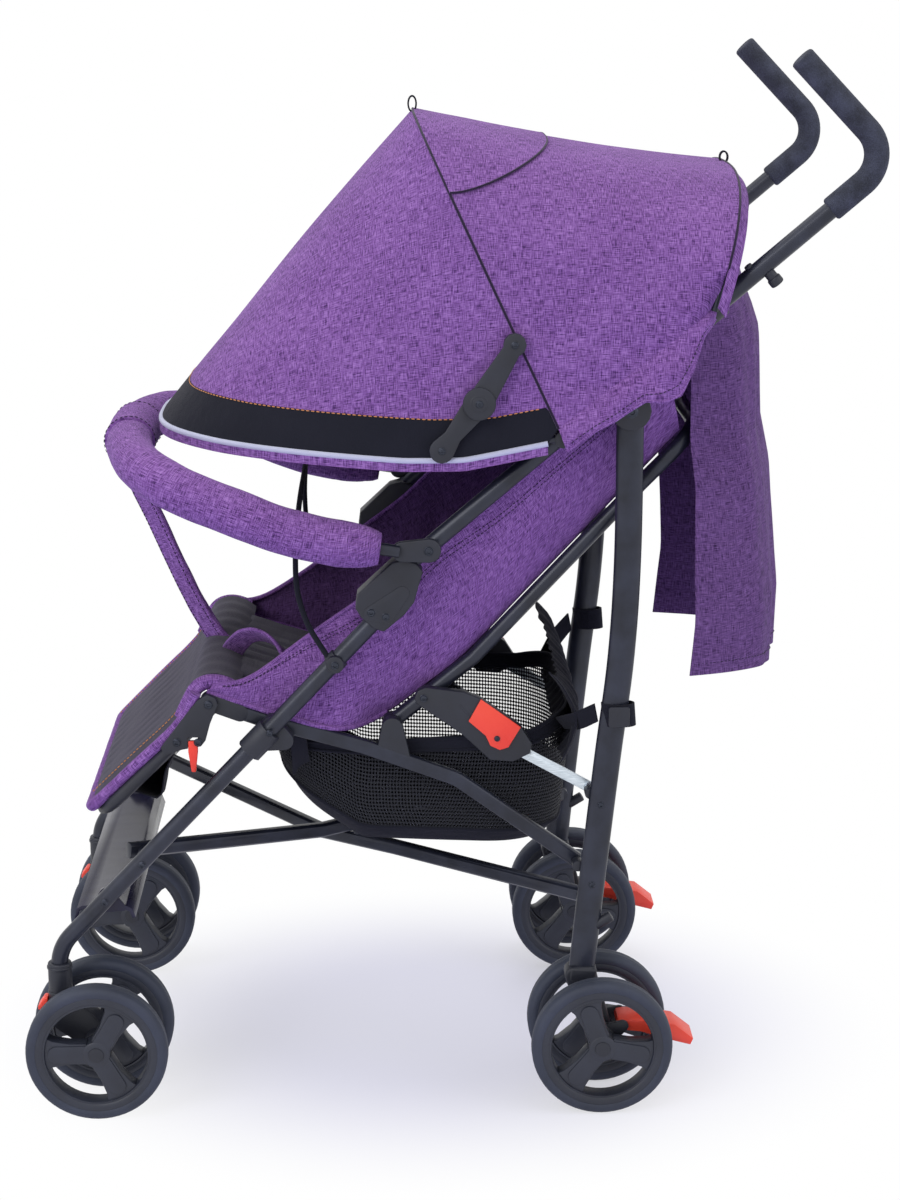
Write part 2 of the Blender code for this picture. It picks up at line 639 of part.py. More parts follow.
def cross_bar(sign, name, middle, pivot):
    """A bent bar from one front leg to the other rear leg."""
    start = (sign * BAR_REACH, *BAR_FRONT)
    end = (-sign * BAR_REACH, *BAR_REAR)
    centre = (0.0, (BAR_FRONT[0] + BAR_REAR[0]) / 2, middle)
    side = Vector((end[1] - start[1], start[0] - end[0], 0)).normalized()
    flat = 0.05
    run = (Vector(end) - Vector(start)).normalized()
    run.z = 0
    before, after = Vector(centre) - run * flat, Vector(centre) + run * flat
    section = box_section(BAR_THICK, BAR_HEIGHT, 0.0025)
    bar = add_object(name, sweep([start, before, after, end], section, side), "frame", pivot)
    reach = SIDE_X - TUBE_RADIUS - CLEAR
    t = (BAR_LUG[0] - start[1]) / (end[1] - start[1])
    x_in = abs(start[0] + (end[0] - start[0]) * t) - 0.002
    front = cross_pin(BAR_LUG, 0.007, *sorted((sign * x_in, sign * reach)), 12)
    join(bar, add_object(name + "_front_lug", front))
    rear_out = RAIL_X + RAIL_THICK / 2
    rear = cross_pin(BAR_REAR, 0.008, *sorted((-sign * (BAR_REACH - 0.004), -sign * rear_out)), 12)
    join(bar, add_object(name + "_rear_lug", rear))
    if middle == BAR_MIDDLE_LOW:
        gap = BAR_MIDDLE_HIGH - BAR_MIDDLE_LOW - BAR_HEIGHT - CLEAR
        top = BAR_MIDDLE_LOW + BAR_HEIGHT / 2
        stud = upright_pin(0.0, centre[1], 0.006, top - 0.001, top + gap)
        join(bar, add_object(name + "_stud", stud))
    return bar


def footrest(name, root):
    """A moulded step between the front legs, with a lip along each edge and ribs under it."""
    reach = SIDE_X - TUBE_RADIUS - CLEAR
    foot_y, foot_z = FRONT_LEG_FOOT

    def at_foot(points):
        return [(foot_y + p[0], foot_z + p[1], *p[2:]) for p in points]

    profile = at_foot([(-0.024, -0.0135), (-0.021, -0.002), (-0.015, 0.001), (0.032, 0.0), (0.0375, -0.003),
                       (0.041, -0.0125), (0.0375, -0.0135), (0.0345, -0.006), (0.030, -0.004), (-0.015, -0.003),
                       (-0.018, -0.0045), (-0.0205, -0.014)])
    item = add_object(name, plate(profile, -reach, reach), "plastic", root)
    for x in (-0.11, 0.0, 0.11):
        rib = plate(at_foot([(-0.019, -0.003), (0.036, -0.0035), (0.032, -0.0105), (-0.015, -0.0105)]),
                    x - 0.0015, x + 0.0015)
        join(item, add_object(name + "_rib_%d" % round(x * 100), rib))
    ear = round_hull(at_foot([(0.011, 0.0115, 0.009), (-0.002, -0.0035, 0.004), (0.028, -0.0025, 0.003)]))
    for sign in (1, -1):
        lug = plate(ear, *sorted((sign * (reach - 0.006), sign * reach)))
        join(item, add_object(name + "_lug_%d" % sign, lug))
    return item


# bumper

def bumper_path():
    """The bar from one fitting round the front to the other."""
    front = HOOD_PIVOT[0] - FRONT_BOW_REACH - BUMPER_LEAD
    side = [(BUMPER_X, 0.055, 0.6115), (BUMPER_X, -0.0415, 0.628), (BUMPER_X, (front - 0.012) / 2, 0.6575),
            (SIDE_X, front + 0.044, 0.6835), (0.573 * SIDE_X, front + 0.010, 0.693), (0.0, front, 0.6945)]
    return side + [(-x, y, z) for x, y, z in side[-2::-1]]


def smooth_path(points, steps):
    """A Catmull-Rom curve through the points."""
    points = [Vector(p) for p in points]
    points = [points[0] * 2 - points[1]] + points + [points[-1] * 2 - points[-2]]
    out = []
    for a, b, c, d in zip(points, points[1:], points[2:], points[3:]):
        for i in range(steps):
            t = i / steps
            out.append(0.5 * ((2 * b) + (c - a) * t + (2 * a - 5 * b + 4 * c - d) * t * t
                              + (3 * b - a - 3 * c + d) * t ** 3))
    out.append(points[-2])
    return out


def upright_sweep(points, section):
    """Sweep with the section's second axis kept upright, for bars that turn round a corner."""
    points = [Vector(p) for p in points]
    bm = bmesh.new()
    rings = []
    for i, point in enumerate(points):
        tangent = (points[min(i + 1, len(points) - 1)] - points[max(i - 1, 0)]).normalized()
        across = tangent.cross(Vector((0, 0, 1))).normalized()
        up = across.cross(tangent)
        rings.append([bm.verts.new(point + across * a + up * b) for a, b in section])
    for low, high in zip(rings, rings[1:]):
        for j in range(len(section)):
            k = (j + 1) % len(section)
            bm.faces.new((low[j], low[k], high[k], high[j]))
    bm.faces.new(rings[0])
    bm.faces.new(rings[-1])
    return bm


def bumper_bar(name, pivot):
    bar = add_object(name, upright_sweep(smooth_path(bumper_path(), 2), circle_section(BUMPER_TUBE_RADIUS, 8)),
                     "frame", pivot)
    low = SIDE_X + KNEE_HALF + CLEAR
    y, z = BUMPER_PIVOT
    for sign in (1, -1):
        outline = round_hull([(y, z, 0.0125), (y - 0.024, z - 0.001, 0.0105)])
        fitting = plate(outline, *sorted((sign * low, sign * (low + 0.008))))
        boss = cross_pin(BUMPER_PIVOT, 0.009, *sorted((sign * (SIDE_X + TUBE_RADIUS + CLEAR),
                                                       sign * (low + 0.002))), 10)
        join(bar, add_object(name + "_fitting_%d" % sign, fitting), add_object(name + "_boss_%d" % sign, boss))
    return bar


def tube_shell(points, radii, bore, sides):
    """A sleeve with a bore: a swept skin whose radius varies, and a swept hole."""
    points = [Vector(p) for p in points]
    bm = bmesh.new()
    skins, holes = [], []
    for i, point in enumerate(points):
        tangent = (points[min(i + 1, len(points) - 1)] - points[max(i - 1, 0)]).normalized()
        across = tangent.cross(Vector((0, 0, 1))).normalized()
        up = across.cross(tangent)
        skins.append([bm.verts.new(point + across * a * radii[i] + up * b * radii[i])
                      for a, b in circle_section(1.0, sides)])
        holes.append([bm.verts.new(point + across * a + up * b) for a, b in circle_section(bore, sides)])
    for rings in (skins, holes):
        for low, high in zip(rings, rings[1:]):
            for j in range(sides):
                k = (j + 1) % sides
                bm.faces.new((low[j], low[k], high[k], high[j]))
    for skin, hole in ((skins[0], holes[0]), (skins[-1], holes[-1])):
        for j in range(sides):
            k = (j + 1) % sides
            bm.faces.new((skin[j], skin[k], hole[k], hole[j]))
    return bm


def bumper_sleeve(name, pivot):
    """The padded sleeve, drawn in at its ends, with the wrap and crotch strap that hang from its middle."""
    path = smooth_path(bumper_path(), 2)
    path = [p for p in path if p.y < 0.045]
    half = len(path) // 2
    radii = []
    for i in range(len(path)):
        from_end = min(i, len(path) - 1 - i)
        radius = SLEEVE_RADIUS * (0.72 if from_end == 0 else 0.93 if from_end == 1 else 1.0)
        if abs(i - half) <= 2:
            radius = SLEEVE_RADIUS + 0.003
        radii.append(radius)
    item = add_object(name, tube_shell(path, radii, SLEEVE_BORE, 8), "purple", pivot)
    front = path[half].y
    strap = upright_strip([(0.0, front - 0.0015, 0.678), (0.0, front + 0.001, 0.645), (0.0, front + 0.020, 0.595),
                           (0.0, (front - 0.124) / 2, 0.520), (0.0, -0.1515, 0.4765)], 0.036, 0.008)
    join(item, add_object(name + "_strap", strap))
    return item


def upright_strip(points, width, thick):
    return sweep(points, box_section(width, thick, 0.002))


# sheets and cushions

def shell(grid, thick):
    """A closed skin of even thickness on a grid of points, thickened against the grid's normal."""
    rows, columns = len(grid), len(grid[0])
    bm = bmesh.new()
    outer = [[bm.verts.new(p) for p in row] for row in grid]
    inner = []
    for i in range(rows):
        line = []
        for j in range(columns):
            down = Vector(grid[min(i + 1, rows - 1)][j]) - Vector(grid[max(i - 1, 0)][j])
            right = Vector(grid[i][min(j + 1, columns - 1)]) - Vector(grid[i][max(j - 1, 0)])
            normal = right.cross(down).normalized()
            line.append(bm.verts.new(Vector(grid[i][j]) + normal * thick))
        inner.append(line)
    for i in range(rows - 1):
        for j in range(columns - 1):
            bm.faces.new((outer[i][j], outer[i][j + 1], outer[i + 1][j + 1], outer[i + 1][j]))
            bm.faces.new((inner[i][j], inner[i + 1][j], inner[i + 1][j + 1], inner[i][j + 1]))
    for i in range(rows - 1):
        for j in (0, columns - 1):
            bm.faces.new((outer[i][j], outer[i + 1][j], inner[i + 1][j], inner[i][j]))
    for j in range(columns - 1):
        for i in (0, rows - 1):
            bm.faces.new((outer[i][j], outer[i][j + 1], inner[i][j + 1], inner[i][j]))
    return bm


def cushion(path, half_width, thick, columns, channels, taper=0.0):
    """A filled pad along a side-view path: a crown over the middle, thin edges and sewn channels."""
    path = [Vector(p) for p in path]
    rows = len(path)
    bm = bmesh.new()
    tops, bases = [], []
    for i, point in enumerate(path):
        run = (path[min(i + 1, rows - 1)] - path[max(i - 1, 0)]).normalized()
        out = Vector((run.y, -run.x))
        v = i / (rows - 1)
        end = min(1.0, min(v, 1 - v) * 7) ** 0.5
        top, base = [], []
        for j in range(columns + 1):
            u = 2 * j / columns - 1
            edge = min(1.0, (1 - abs(u)) * 5) ** 0.5
            fill = 0.30 + 0.70 * edge * end * (0.85 + 0.15 * (1 - u * u))
            for channel in channels:
                fill -= 0.35 * end * math.exp(-((abs(u) - channel) / 0.05) ** 2)
            x = half_width * (1 - taper * v) * (u - 0.02 * u * edge)
            place = point + out * thick * max(0.25, fill)
            top.append(bm.verts.new((x, place.x, place.y)))
            base.append(bm.verts.new((half_width * (1 - taper * v) * u * 0.985, point.x, point.y)))
        tops.append(top)
        bases.append(base)
    for i in range(rows - 1):
        for j in range(columns):
            bm.faces.new((tops[i][j], tops[i][j + 1], tops[i + 1][j + 1], tops[i + 1][j]))
            bm.faces.new((bases[i][j], bases[i + 1][j], bases[i + 1][j + 1], bases[i][j + 1]))
        for j in (0, columns):
            bm.faces.new((tops[i][j], tops[i + 1][j], bases[i + 1][j], bases[i][j]))
    for j in range(columns):
        for i in (0, rows - 1):
            bm.faces.new((tops[i][j], tops[i][j + 1], bases[i][j + 1], bases[i][j]))
    return bm


def resample(points, count):
    """Even steps along a smooth curve through the points."""
    curve = smooth_path([(0.0, *p) for p in points], 8)
    lengths = [0.0]
    for a, b in zip(curve, curve[1:]):
        lengths.append(lengths[-1] + (b - a).length)
    out = []
    for i in range(count):
        want = lengths[-1] * i / (count - 1)
        k = 0
        while k < len(curve) - 2 and lengths[k + 1] < want:
            k += 1
        t = (want - lengths[k]) / max(1e-9, lengths[k + 1] - lengths[k])
        p = curve[k].lerp(curve[k + 1], t)
        out.append((p.y, p.z))
    return out


def on_sheet(points, counts):
    """Rows of a pad that rests on the sheet: each straight run in even steps, just clear of it."""
    out = []
    for (a, b), count in zip(zip(points, points[1:]), counts):
        out += [Vector(a).lerp(Vector(b), i / count) for i in range(count)]
    out.append(Vector(points[-1]))
    run = [(out[min(i + 1, len(out) - 1)] - out[max(i - 1, 0)]).normalized() for i in range(len(out))]
    return [tuple(p + Vector((d.y, -d.x)) * 0.0007) for p, d in zip(out, run)]


def seat_pad(name, root):
    path = on_sheet([(0.0164, 0.4145), (-0.010, 0.4115), (-0.070, 0.4282), (-0.118, 0.4444), (-0.132, 0.4495)],
                    (2, 3, 3, 1))
    return add_object(name, cushion(path, 0.137 + WIDEN, 0.016, 12, (0.5,)), "charcoal", root)


def calf_pad(name, pivot):
    path = resample([(-0.1545, 0.4500), (-0.1733, 0.4146), (-0.2196, 0.3690), (-0.2695, 0.3199)], 10)
    return add_object(name, cushion(path, 0.176 + WIDEN, 0.013, 12, (0.45,), 0.08), "charcoal", pivot)


def backrest_pad(name, pivot):
    path = on_sheet([(0.3400, 0.7198), (0.298, 0.6748), (0.243, 0.6154), (0.183, 0.5509), (0.1255, 0.4889),
                     (0.084, 0.4547), (0.059, 0.4356)], (1, 2, 2, 2, 1, 1))
    return add_object(name, cushion(path, 0.132 + WIDEN, 0.018, 12, (0.5,)), "charcoal", pivot)


SLING = [
    # seat edge (y, z), half width there, top of the side panel (y, z), half width there
    ((-0.146, 0.4546), 0.1718, (-0.140, 0.4600), 0.1718),
    ((-0.118, 0.4444), 0.1718, (-0.100, 0.4680), 0.1700),
    ((-0.070, 0.4282), 0.1718, (-0.040, 0.5090), 0.159),
    ((-0.010, 0.4115), 0.1680, (0.018, 0.5520), 0.168),
    ((0.034, 0.4165), 0.1390, (0.062, 0.5840), 0.174),
    ((0.084, 0.4547), 0.1460, (0.105, 0.6240), 0.174),
    ((0.1255, 0.4889), 0.1460, (0.160, 0.6620), 0.174),
    ((0.183, 0.5509), 0.1460, (0.215, 0.7070), 0.174),
    ((0.243, 0.6154), 0.1460, (0.265, 0.7480), 0.174),
    ((0.298, 0.6748), 0.1460, (0.296, 0.7735), 0.174),
    ((0.3442, 0.7240), 0.1460, (0.326, 0.7980), 0.174),
]


def seat_sling(name, root):
    """The slung seat: bottom, back and the two side panels, one sewn sheet."""
    grid = []
    for (y, z), half, (ty, tz), top_half in SLING:
        half, top_half = half + WIDEN, top_half + WIDEN
        line = []
        for t in (1.0, 0.75, 0.5, 0.25, 0.0):
            line.append((half + (top_half - half) * t ** 0.8, y + (ty - y) * t, z + (tz - z) * t))
        for u in (0.90, 0.5, 0.0):
            line.append((half * u, y, z))
        grid.append(line + [(-x, a, b) for x, a, b in line[-2::-1]])
    return add_object(name, shell(grid, 0.0025), "purple", root)


def basket(name, root):
    """An open bag: a floor that follows the frame and walls that rise at the rear to the legs."""
    front, rear, half = -0.082, 0.240, 0.154 + WIDEN
    columns = 24
    grid = [[] for _ in range(9)]
    lifts = (0.0, 0.0, 0.004, 0.014, 0.030, 0.25, 0.5, 0.75, 1.0)
    shrinks = (0.04, 0.35, 0.70, 0.88, 0.955, 0.985, 1.0, 1.005, 1.01)
    for i in range(9):
        for j in range(columns + 1):
            angle = 2 * math.pi * j / columns
            c, s = math.cos(angle), math.sin(angle)
            cx = math.copysign(abs(c) ** 0.5, c)
            cy = math.copysign(abs(s) ** 0.5, s)
            y = (front + rear) / 2 + (rear - front) / 2 * cy * shrinks[i]
            t = min(1.0, max(0.0, (y - front) / (rear - front)))
            x = half * cx * shrinks[i]
            floor = 0.2690 - 0.016 * t + 0.052 * max(0.0, 0.30 - t) / 0.30
            rim = 0.3650 - 0.050 * min(1.0, t / 0.8) + 0.110 * min(1.0, max(0.0, (t - 0.78) / 0.12))
            if i < 5:
                z = floor + lifts[i]
            else:
                z = floor + 0.030 + (rim - floor - 0.030) * lifts[i]
            grid[i].append((x, y, z))
    bm = bmesh.new()
    outer = [[bm.verts.new(p) for p in row[:-1]] for row in grid]
    inner = []
    wall = 0.0022
    for i, row in enumerate(grid):
        line = []
        for j, p in enumerate(row[:-1]):
            down = Vector(grid[min(i + 1, 8)][j]) - Vector(grid[max(i - 1, 0)][j])
            right = Vector(row[(j + 1) % columns]) - Vector(row[(j - 1) % columns])
            normal = right.cross(down).normalized()
            line.append(bm.verts.new(Vector(p) - normal * wall))
        inner.append(line)
    for i in range(8):
        for j in range(columns):
            k = (j + 1) % columns
            bm.faces.new((outer[i][j], outer[i][k], outer[i + 1][k], outer[i + 1][j]))
            bm.faces.new((inner[i][j], inner[i + 1][j], inner[i + 1][k], inner[i][k]))
    for j in range(columns):
        k = (j + 1) % columns
        bm.faces.new((outer[8][j], outer[8][k], inner[8][k], inner[8][j]))
    bm.faces.new(outer[0])
    bm.faces.new(inner[0])
    bag = add_object(name, bm, "mesh", root)
    rail_face = RAIL_X - RAIL_THICK / 2 - CLEAR
    leg_face = SIDE_X - LEG_THICK / 2 - CLEAR
    for sign in (1, -1):
        front_tab = plate([(-0.060, 0.335), (-0.040, 0.335), (-0.046, 0.408), (-0.066, 0.414)],
                          *sorted((sign * (half - 0.032), sign * rail_face)))
        rear_tab = plate([(0.2100, 0.395), (0.2385, 0.394), (0.2640, 0.425), (0.2640, 0.444), (0.2540, 0.444),
                          (0.2100, 0.420)], *sorted((sign * (half - 0.045), sign * leg_face)))
        tag = round(sign)
        join(bag, add_object(name + "_front_tab_%d" % tag, front_tab),
             add_object(name + "_rear_tab_%d" % tag, rear_tab))
    return bag


# hood

def arch_point(phi, half, reach, base, angle):
    """A point on a squared arch that stands in a plane through the x direction."""
    c, s = math.cos(phi), math.sin(phi)
    x = math.copysign(half * abs(c) ** (2 / HOOD_BOX), c)
    r = reach * max(0.0, s) ** (2 / HOOD_BOX)
    lean = math.radians(angle)
    return Vector((x, base[0] + r * math.cos(lean), base[1] + r * math.sin(lean)))


def hood_rows(columns=24):
    first = math.radians(2.5)
    angles = [first + (math.pi - 2 * first) * j / columns for j in range(columns + 1)]
    piping, main, rear, lip, rear_lip = [], [], [], [], []
    for phi in angles:
        edge = arch_point(phi, HOOD_HALF, FRONT_BOW_REACH, HOOD_PIVOT, FRONT_BOW_ANGLE)
        side = min(1.0, abs(math.cos(phi)) * 1.6)
        run = min(1.0, (HOOD_PIVOT[0] - edge.y) / 0.10)
        back = 1.0 - min(1.0, max(0.0, (HOOD_PIVOT[0] - edge.y - 0.16) / 0.25))
        edge.z -= HEM_DIP * side * run * back
        piping.append(edge)
        lip.append(edge - Vector((0, 0, HEM_LIP)))
        main.append(arch_point(phi, HOOD_HALF, MAIN_BOW_REACH, HOOD_PIVOT, MAIN_BOW_ANGLE))
        rear_point = arch_point(phi, HOOD_HALF, REAR_BOW_REACH, REAR_BOW_BASE, REAR_BOW_ANGLE)
        rear.append(rear_point)
        rear_lip.append(rear_point + Vector((0, 0.008, -0.010)))
    rows = [lip, piping]
    for t in (0.13, 0.40, 0.70):
        bulge = 0.010 * 4 * t * (1 - t)
        row = []
        for a, b in zip(piping, main):
            p = a.lerp(b, t)
            spread = Vector((0.0, p.y - HOOD_PIVOT[0], p.z - HOOD_PIVOT[1]))
            row.append(p + spread.normalized() * bulge * min(1.0, spread.length / 0.3))
        rows.append(row)
    rows.append(main)
    for t in (0.33, 0.67):
        sag = 0.005 * 4 * t * (1 - t)
        row = []
        for a, b, phi in zip(main, rear, angles):
            p = a.lerp(b, t)
            row.append(p - Vector((0.0, 0.0, sag * math.sin(phi) ** 2)))
        rows.append(row)
    rows += [rear, rear_lip]
    return rows


def hood(name, root):
    return add_object(name, shell(hood_rows(), HOOD_WALL), "purple", root)


def bow(name, half, reach, base, angle, pivot, steps=18):
    points = []
    for i in range(steps + 1):
        phi = math.pi * i / steps
        points.append(arch_point(phi, half, reach, base, angle))
    return add_object(name, bow_sweep(points, angle), "frame", pivot)


def bow_sweep(points, angle):
    """A round rod that stays in its own plane."""
    lean = math.radians(angle)
    square = Vector((0.0, -math.sin(lean), math.cos(lean)))
    bm = bmesh.new()
    rings = []
    for i, point in enumerate(points):
        tangent = (points[min(i + 1, len(points) - 1)] - points[max(i - 1, 0)]).normalized()
        across = square.cross(tangent).normalized()
        rings.append([bm.verts.new(point + square * a + across * b) for a, b in circle_section(BOW_RADIUS, 6)])
    for low, high in zip(rings, rings[1:]):
        for j in range(6):
            k = (j + 1) % 6
            bm.faces.new((low[j], low[k], high[k], high[j]))
    bm.faces.new(rings[0])
    bm.faces.new(rings[-1])
    return bm


def main_bow(name, pivot):
    item = bow(name, MAIN_BOW_X, MAIN_BOW_REACH - BOW_INSET, HOOD_PIVOT, MAIN_BOW_ANGLE, pivot)
    low = SIDE_X + TUBE_RADIUS + CLEAR
    for sign in (1, -1):
        eye = cross_pin(HOOD_PIVOT, 0.009, *sorted((sign * low, sign * EYE_SPLIT)))
        pin = cross_pin(HOOD_PIVOT, 0.003, *sorted((sign * (EYE_SPLIT - CLEAR), sign * (EYE_SPLIT + 0.0092))), 10)
        tag = round(sign)
        join(item, add_object(name + "_eye_%d" % tag, eye), add_object(name + "_pin_%d" % tag, pin))
        lug = cross_pin(ELBOW_HIGH, 0.004, *sorted((sign * (MAIN_BOW_X - 0.005), sign * (MAIN_BOW_X + 0.006))), 10)
        join(item, add_object(name + "_lug_%d" % tag, lug))
    return item


def front_bow(name, pivot):
    item = bow(name, FRONT_BOW_X, FRONT_BOW_REACH - FRONT_BOW_INSET, HOOD_PIVOT,
               FRONT_BOW_ANGLE + FRONT_BOW_DROP, pivot)
    for sign in (1, -1):
        tag = round(sign)
        eye = cross_pin(HOOD_PIVOT, 0.009, *sorted((sign * (EYE_SPLIT + CLEAR), sign * (EYE_SPLIT + 0.009))))
        join(item, add_object(name + "_eye_%d" % tag, eye))
        hole = cross_pin(HOOD_PIVOT, 0.0033, *sorted((sign * SIDE_X, sign * (HOOD_HALF + 0.008))), 10)
        cut(item, add_object(name + "_hole_%d" % tag, hole))
    return item


def rear_bow(name, root):
    """The short bow, with a collar clamped on each handle tube."""
    half = SIDE_X + TUBE_RADIUS + 0.0055
    item = bow(name, half, REAR_BOW_REACH - BOW_INSET, REAR_BOW_BASE, REAR_BOW_ANGLE, root, 16)
    run = (Vector(HANDLE_BEND) - Vector(HANDLE_LOW)).normalized()
    low = Vector(REAR_BOW_BASE) - run * 0.011
    high = Vector(REAR_BOW_BASE) + run * 0.011
    for sign in (1, -1):
        x = sign * SIDE_X
        tag = round(sign)
        collar = sweep(side_path([tuple(low), tuple(high)], x), circle_section(TUBE_RADIUS + 0.0045))
        join(item, add_object(name + "_collar_%d" % tag, collar))
        bore = sweep(side_path([HANDLE_LOW, HANDLE_BEND], x), circle_section(TUBE_RADIUS + CLEAR))
        cut(item, add_object(name + "_bore_%d" % tag, bore))
    return item


def elbow_lower(sign, name, pivot):
    low, high = HOOD_HALF + 0.0005, HOOD_HALF + 0.0045
    outline = round_hull([(*ELBOW, 0.0135), (ELBOW_LOW[0] + 0.010, ELBOW_LOW[1] + 0.014, 0.0085)])
    item = add_object(name, plate(outline, *sorted((sign * low, sign * high))), "plastic", pivot)
    foot = round_hull([(*ELBOW_LOW, 0.0125), (ELBOW_LOW[0] + 0.012, ELBOW_LOW[1] + 0.016, 0.008)])
    join(item, add_object(name + "_foot", plate(foot, *sorted((sign * low, sign * high)))))
    boss = cross_pin(ELBOW_LOW, 0.006, *sorted((sign * (HOOD_HALF - 0.0021), sign * high)))
    join(item, add_object(name + "_boss", boss))
    return item


def elbow_upper(sign, name, pivot):
    low, high = HOOD_HALF + 0.0045 + CLEAR, HOOD_HALF + 0.0088
    outline = round_hull([(*ELBOW, 0.0135), (*ELBOW_HIGH, 0.0085)])
    item = add_object(name, plate(outline, *sorted((sign * low, sign * high))), "plastic", pivot)
    foot = cross_pin(ELBOW_HIGH, 0.0115, *sorted((sign * (HOOD_HALF + 0.0005), sign * high)))
    boss = cross_pin(ELBOW_HIGH, 0.006, *sorted((sign * (HOOD_HALF - 0.0021), sign * high)))
    cap = cross_pin(ELBOW, 0.0100, *sorted((sign * (high - 0.001), sign * (high + 0.003))))
    join(item, add_object(name + "_foot", foot), add_object(name + "_boss", boss), add_object(name + "_cap", cap))
    return item


FLAP_BACK = [(0.974, 0.413), (0.894, 0.416), (0.842, 0.434), (0.816, 0.440), (0.715, 0.445), (0.665, 0.456),
             (0.565, 0.465), (0.526, 0.469), (0.440, 0.467)]


def flap_depth(z):
    for (z1, y1), (z2, y2) in zip(FLAP_BACK, FLAP_BACK[1:]):
        if z >= z2:
            t = (z1 - z) / (z1 - z2)
            return y1 + (y2 - y1) * min(1.0, max(0.0, t))
    return FLAP_BACK[-1][1]


def rear_flap(name, root):
    """The curtain behind the hood: it hangs from the rear bow in long upright folds."""
    rows, columns = 9, 14
    grid = []
    for i in range(rows + 1):
        t = i / rows
        row = []
        for j in range(columns + 1):
            u = 2 * j / columns - 1
            x = (0.158 + WIDEN) * u
            c = min(1.0, abs(x) / HOOD_HALF) ** (HOOD_BOX / 2)
            r = REAR_BOW_REACH * math.sqrt(1 - c * c) ** (2 / HOOD_BOX)
            lean = math.radians(REAR_BOW_ANGLE)
            top = Vector((REAR_BOW_BASE[0] + r * math.cos(lean), REAR_BOW_BASE[1] + r * math.sin(lean)))
            top += Vector((0.0086, -0.0100))
            z = top.y + (0.468 - 0.012 * (1 - u) - top.y) * t
            hang = min(1.0, t * 3)
            hang = hang * hang * (3 - 2 * hang)
            fold = 0.009 * math.sin(2 * math.pi * 2.25 * u + 0.6 + 0.8 * t) * min(1.0, t * 1.6)
            loose = flap_depth(z) - 0.052 * u * u * (0.7 + 0.3 * t) + fold
            y = top.x + (loose - top.x) * hang
            sway = 0.004 * math.sin(5 * t + 3 * u) * t
            row.append((x * (1 + 0.10 * t) + sway, y, z))
        grid.append(row)
    return add_object(name, shell(grid, 0.0022), "purple", root)


def guard_hoop(name, root):
    """A wire arch behind the bumper, held to each front leg by a clip."""
    at = Vector(along(KNEE, FRONT_LEG_FOOT, 0.0823))
    side = [(0.1835, at.x + 0.0055, at.y - 0.0007), (0.1750, at.x - 0.0085, at.y + 0.0083), (0.1680, -0.040, 0.5200),
            (0.1640, -0.050, 0.5550), (0.1600, -0.052, 0.5920), (0.1350, -0.050, 0.6280), (0.0900, -0.048, 0.6460)]
    side = [(x + WIDEN, y, z) for x, y, z in side] + [(0.0, -0.046, 0.6550)]
    path = side + mirrored(side[-2::-1], -1)
    item = add_object(name, hoop_sweep(smooth_path(path, 1)), "frame", root)
    run = (Vector(KNEE) - Vector(FRONT_LEG_FOOT)).normalized()
    for sign in (1, -1):
        x = sign * SIDE_X
        tag = round(sign)
        ends = [tuple(at - run * 0.008), tuple(at + run * 0.008)]
        clip = sweep(side_path(ends, x), circle_section(TUBE_RADIUS + 0.0035))
        join(item, add_object(name + "_clip_%d" % tag, clip))
        bore = sweep(side_path([FRONT_LEG_FOOT, KNEE], x), circle_section(TUBE_RADIUS + CLEAR))
        cut(item, add_object(name + "_bore_%d" % tag, bore))
    return item


def hoop_sweep(points):
    bm = bmesh.new()
    rings = []
    ahead = Vector((0, 1, 0))
    for i, point in enumerate(points):
        tangent = (points[min(i + 1, len(points) - 1)] - points[max(i - 1, 0)]).normalized()
        across = tangent.cross(ahead).normalized()
        square = across.cross(tangent)
        rings.append([bm.verts.new(point + across * a + square * b) for a, b in circle_section(HOOP_RADIUS, 6)])
    for low, high in zip(rings, rings[1:]):
        for j in range(6):
            k = (j + 1) % 6
            bm.faces.new((low[j], low[k], high[k], high[j]))
    bm.faces.new(rings[0])
    bm.faces.new(rings[-1])
    return bm


def pivot_at(name, x, place, parent):
    return add_empty(name, (x, place[0], place[1]), parent)


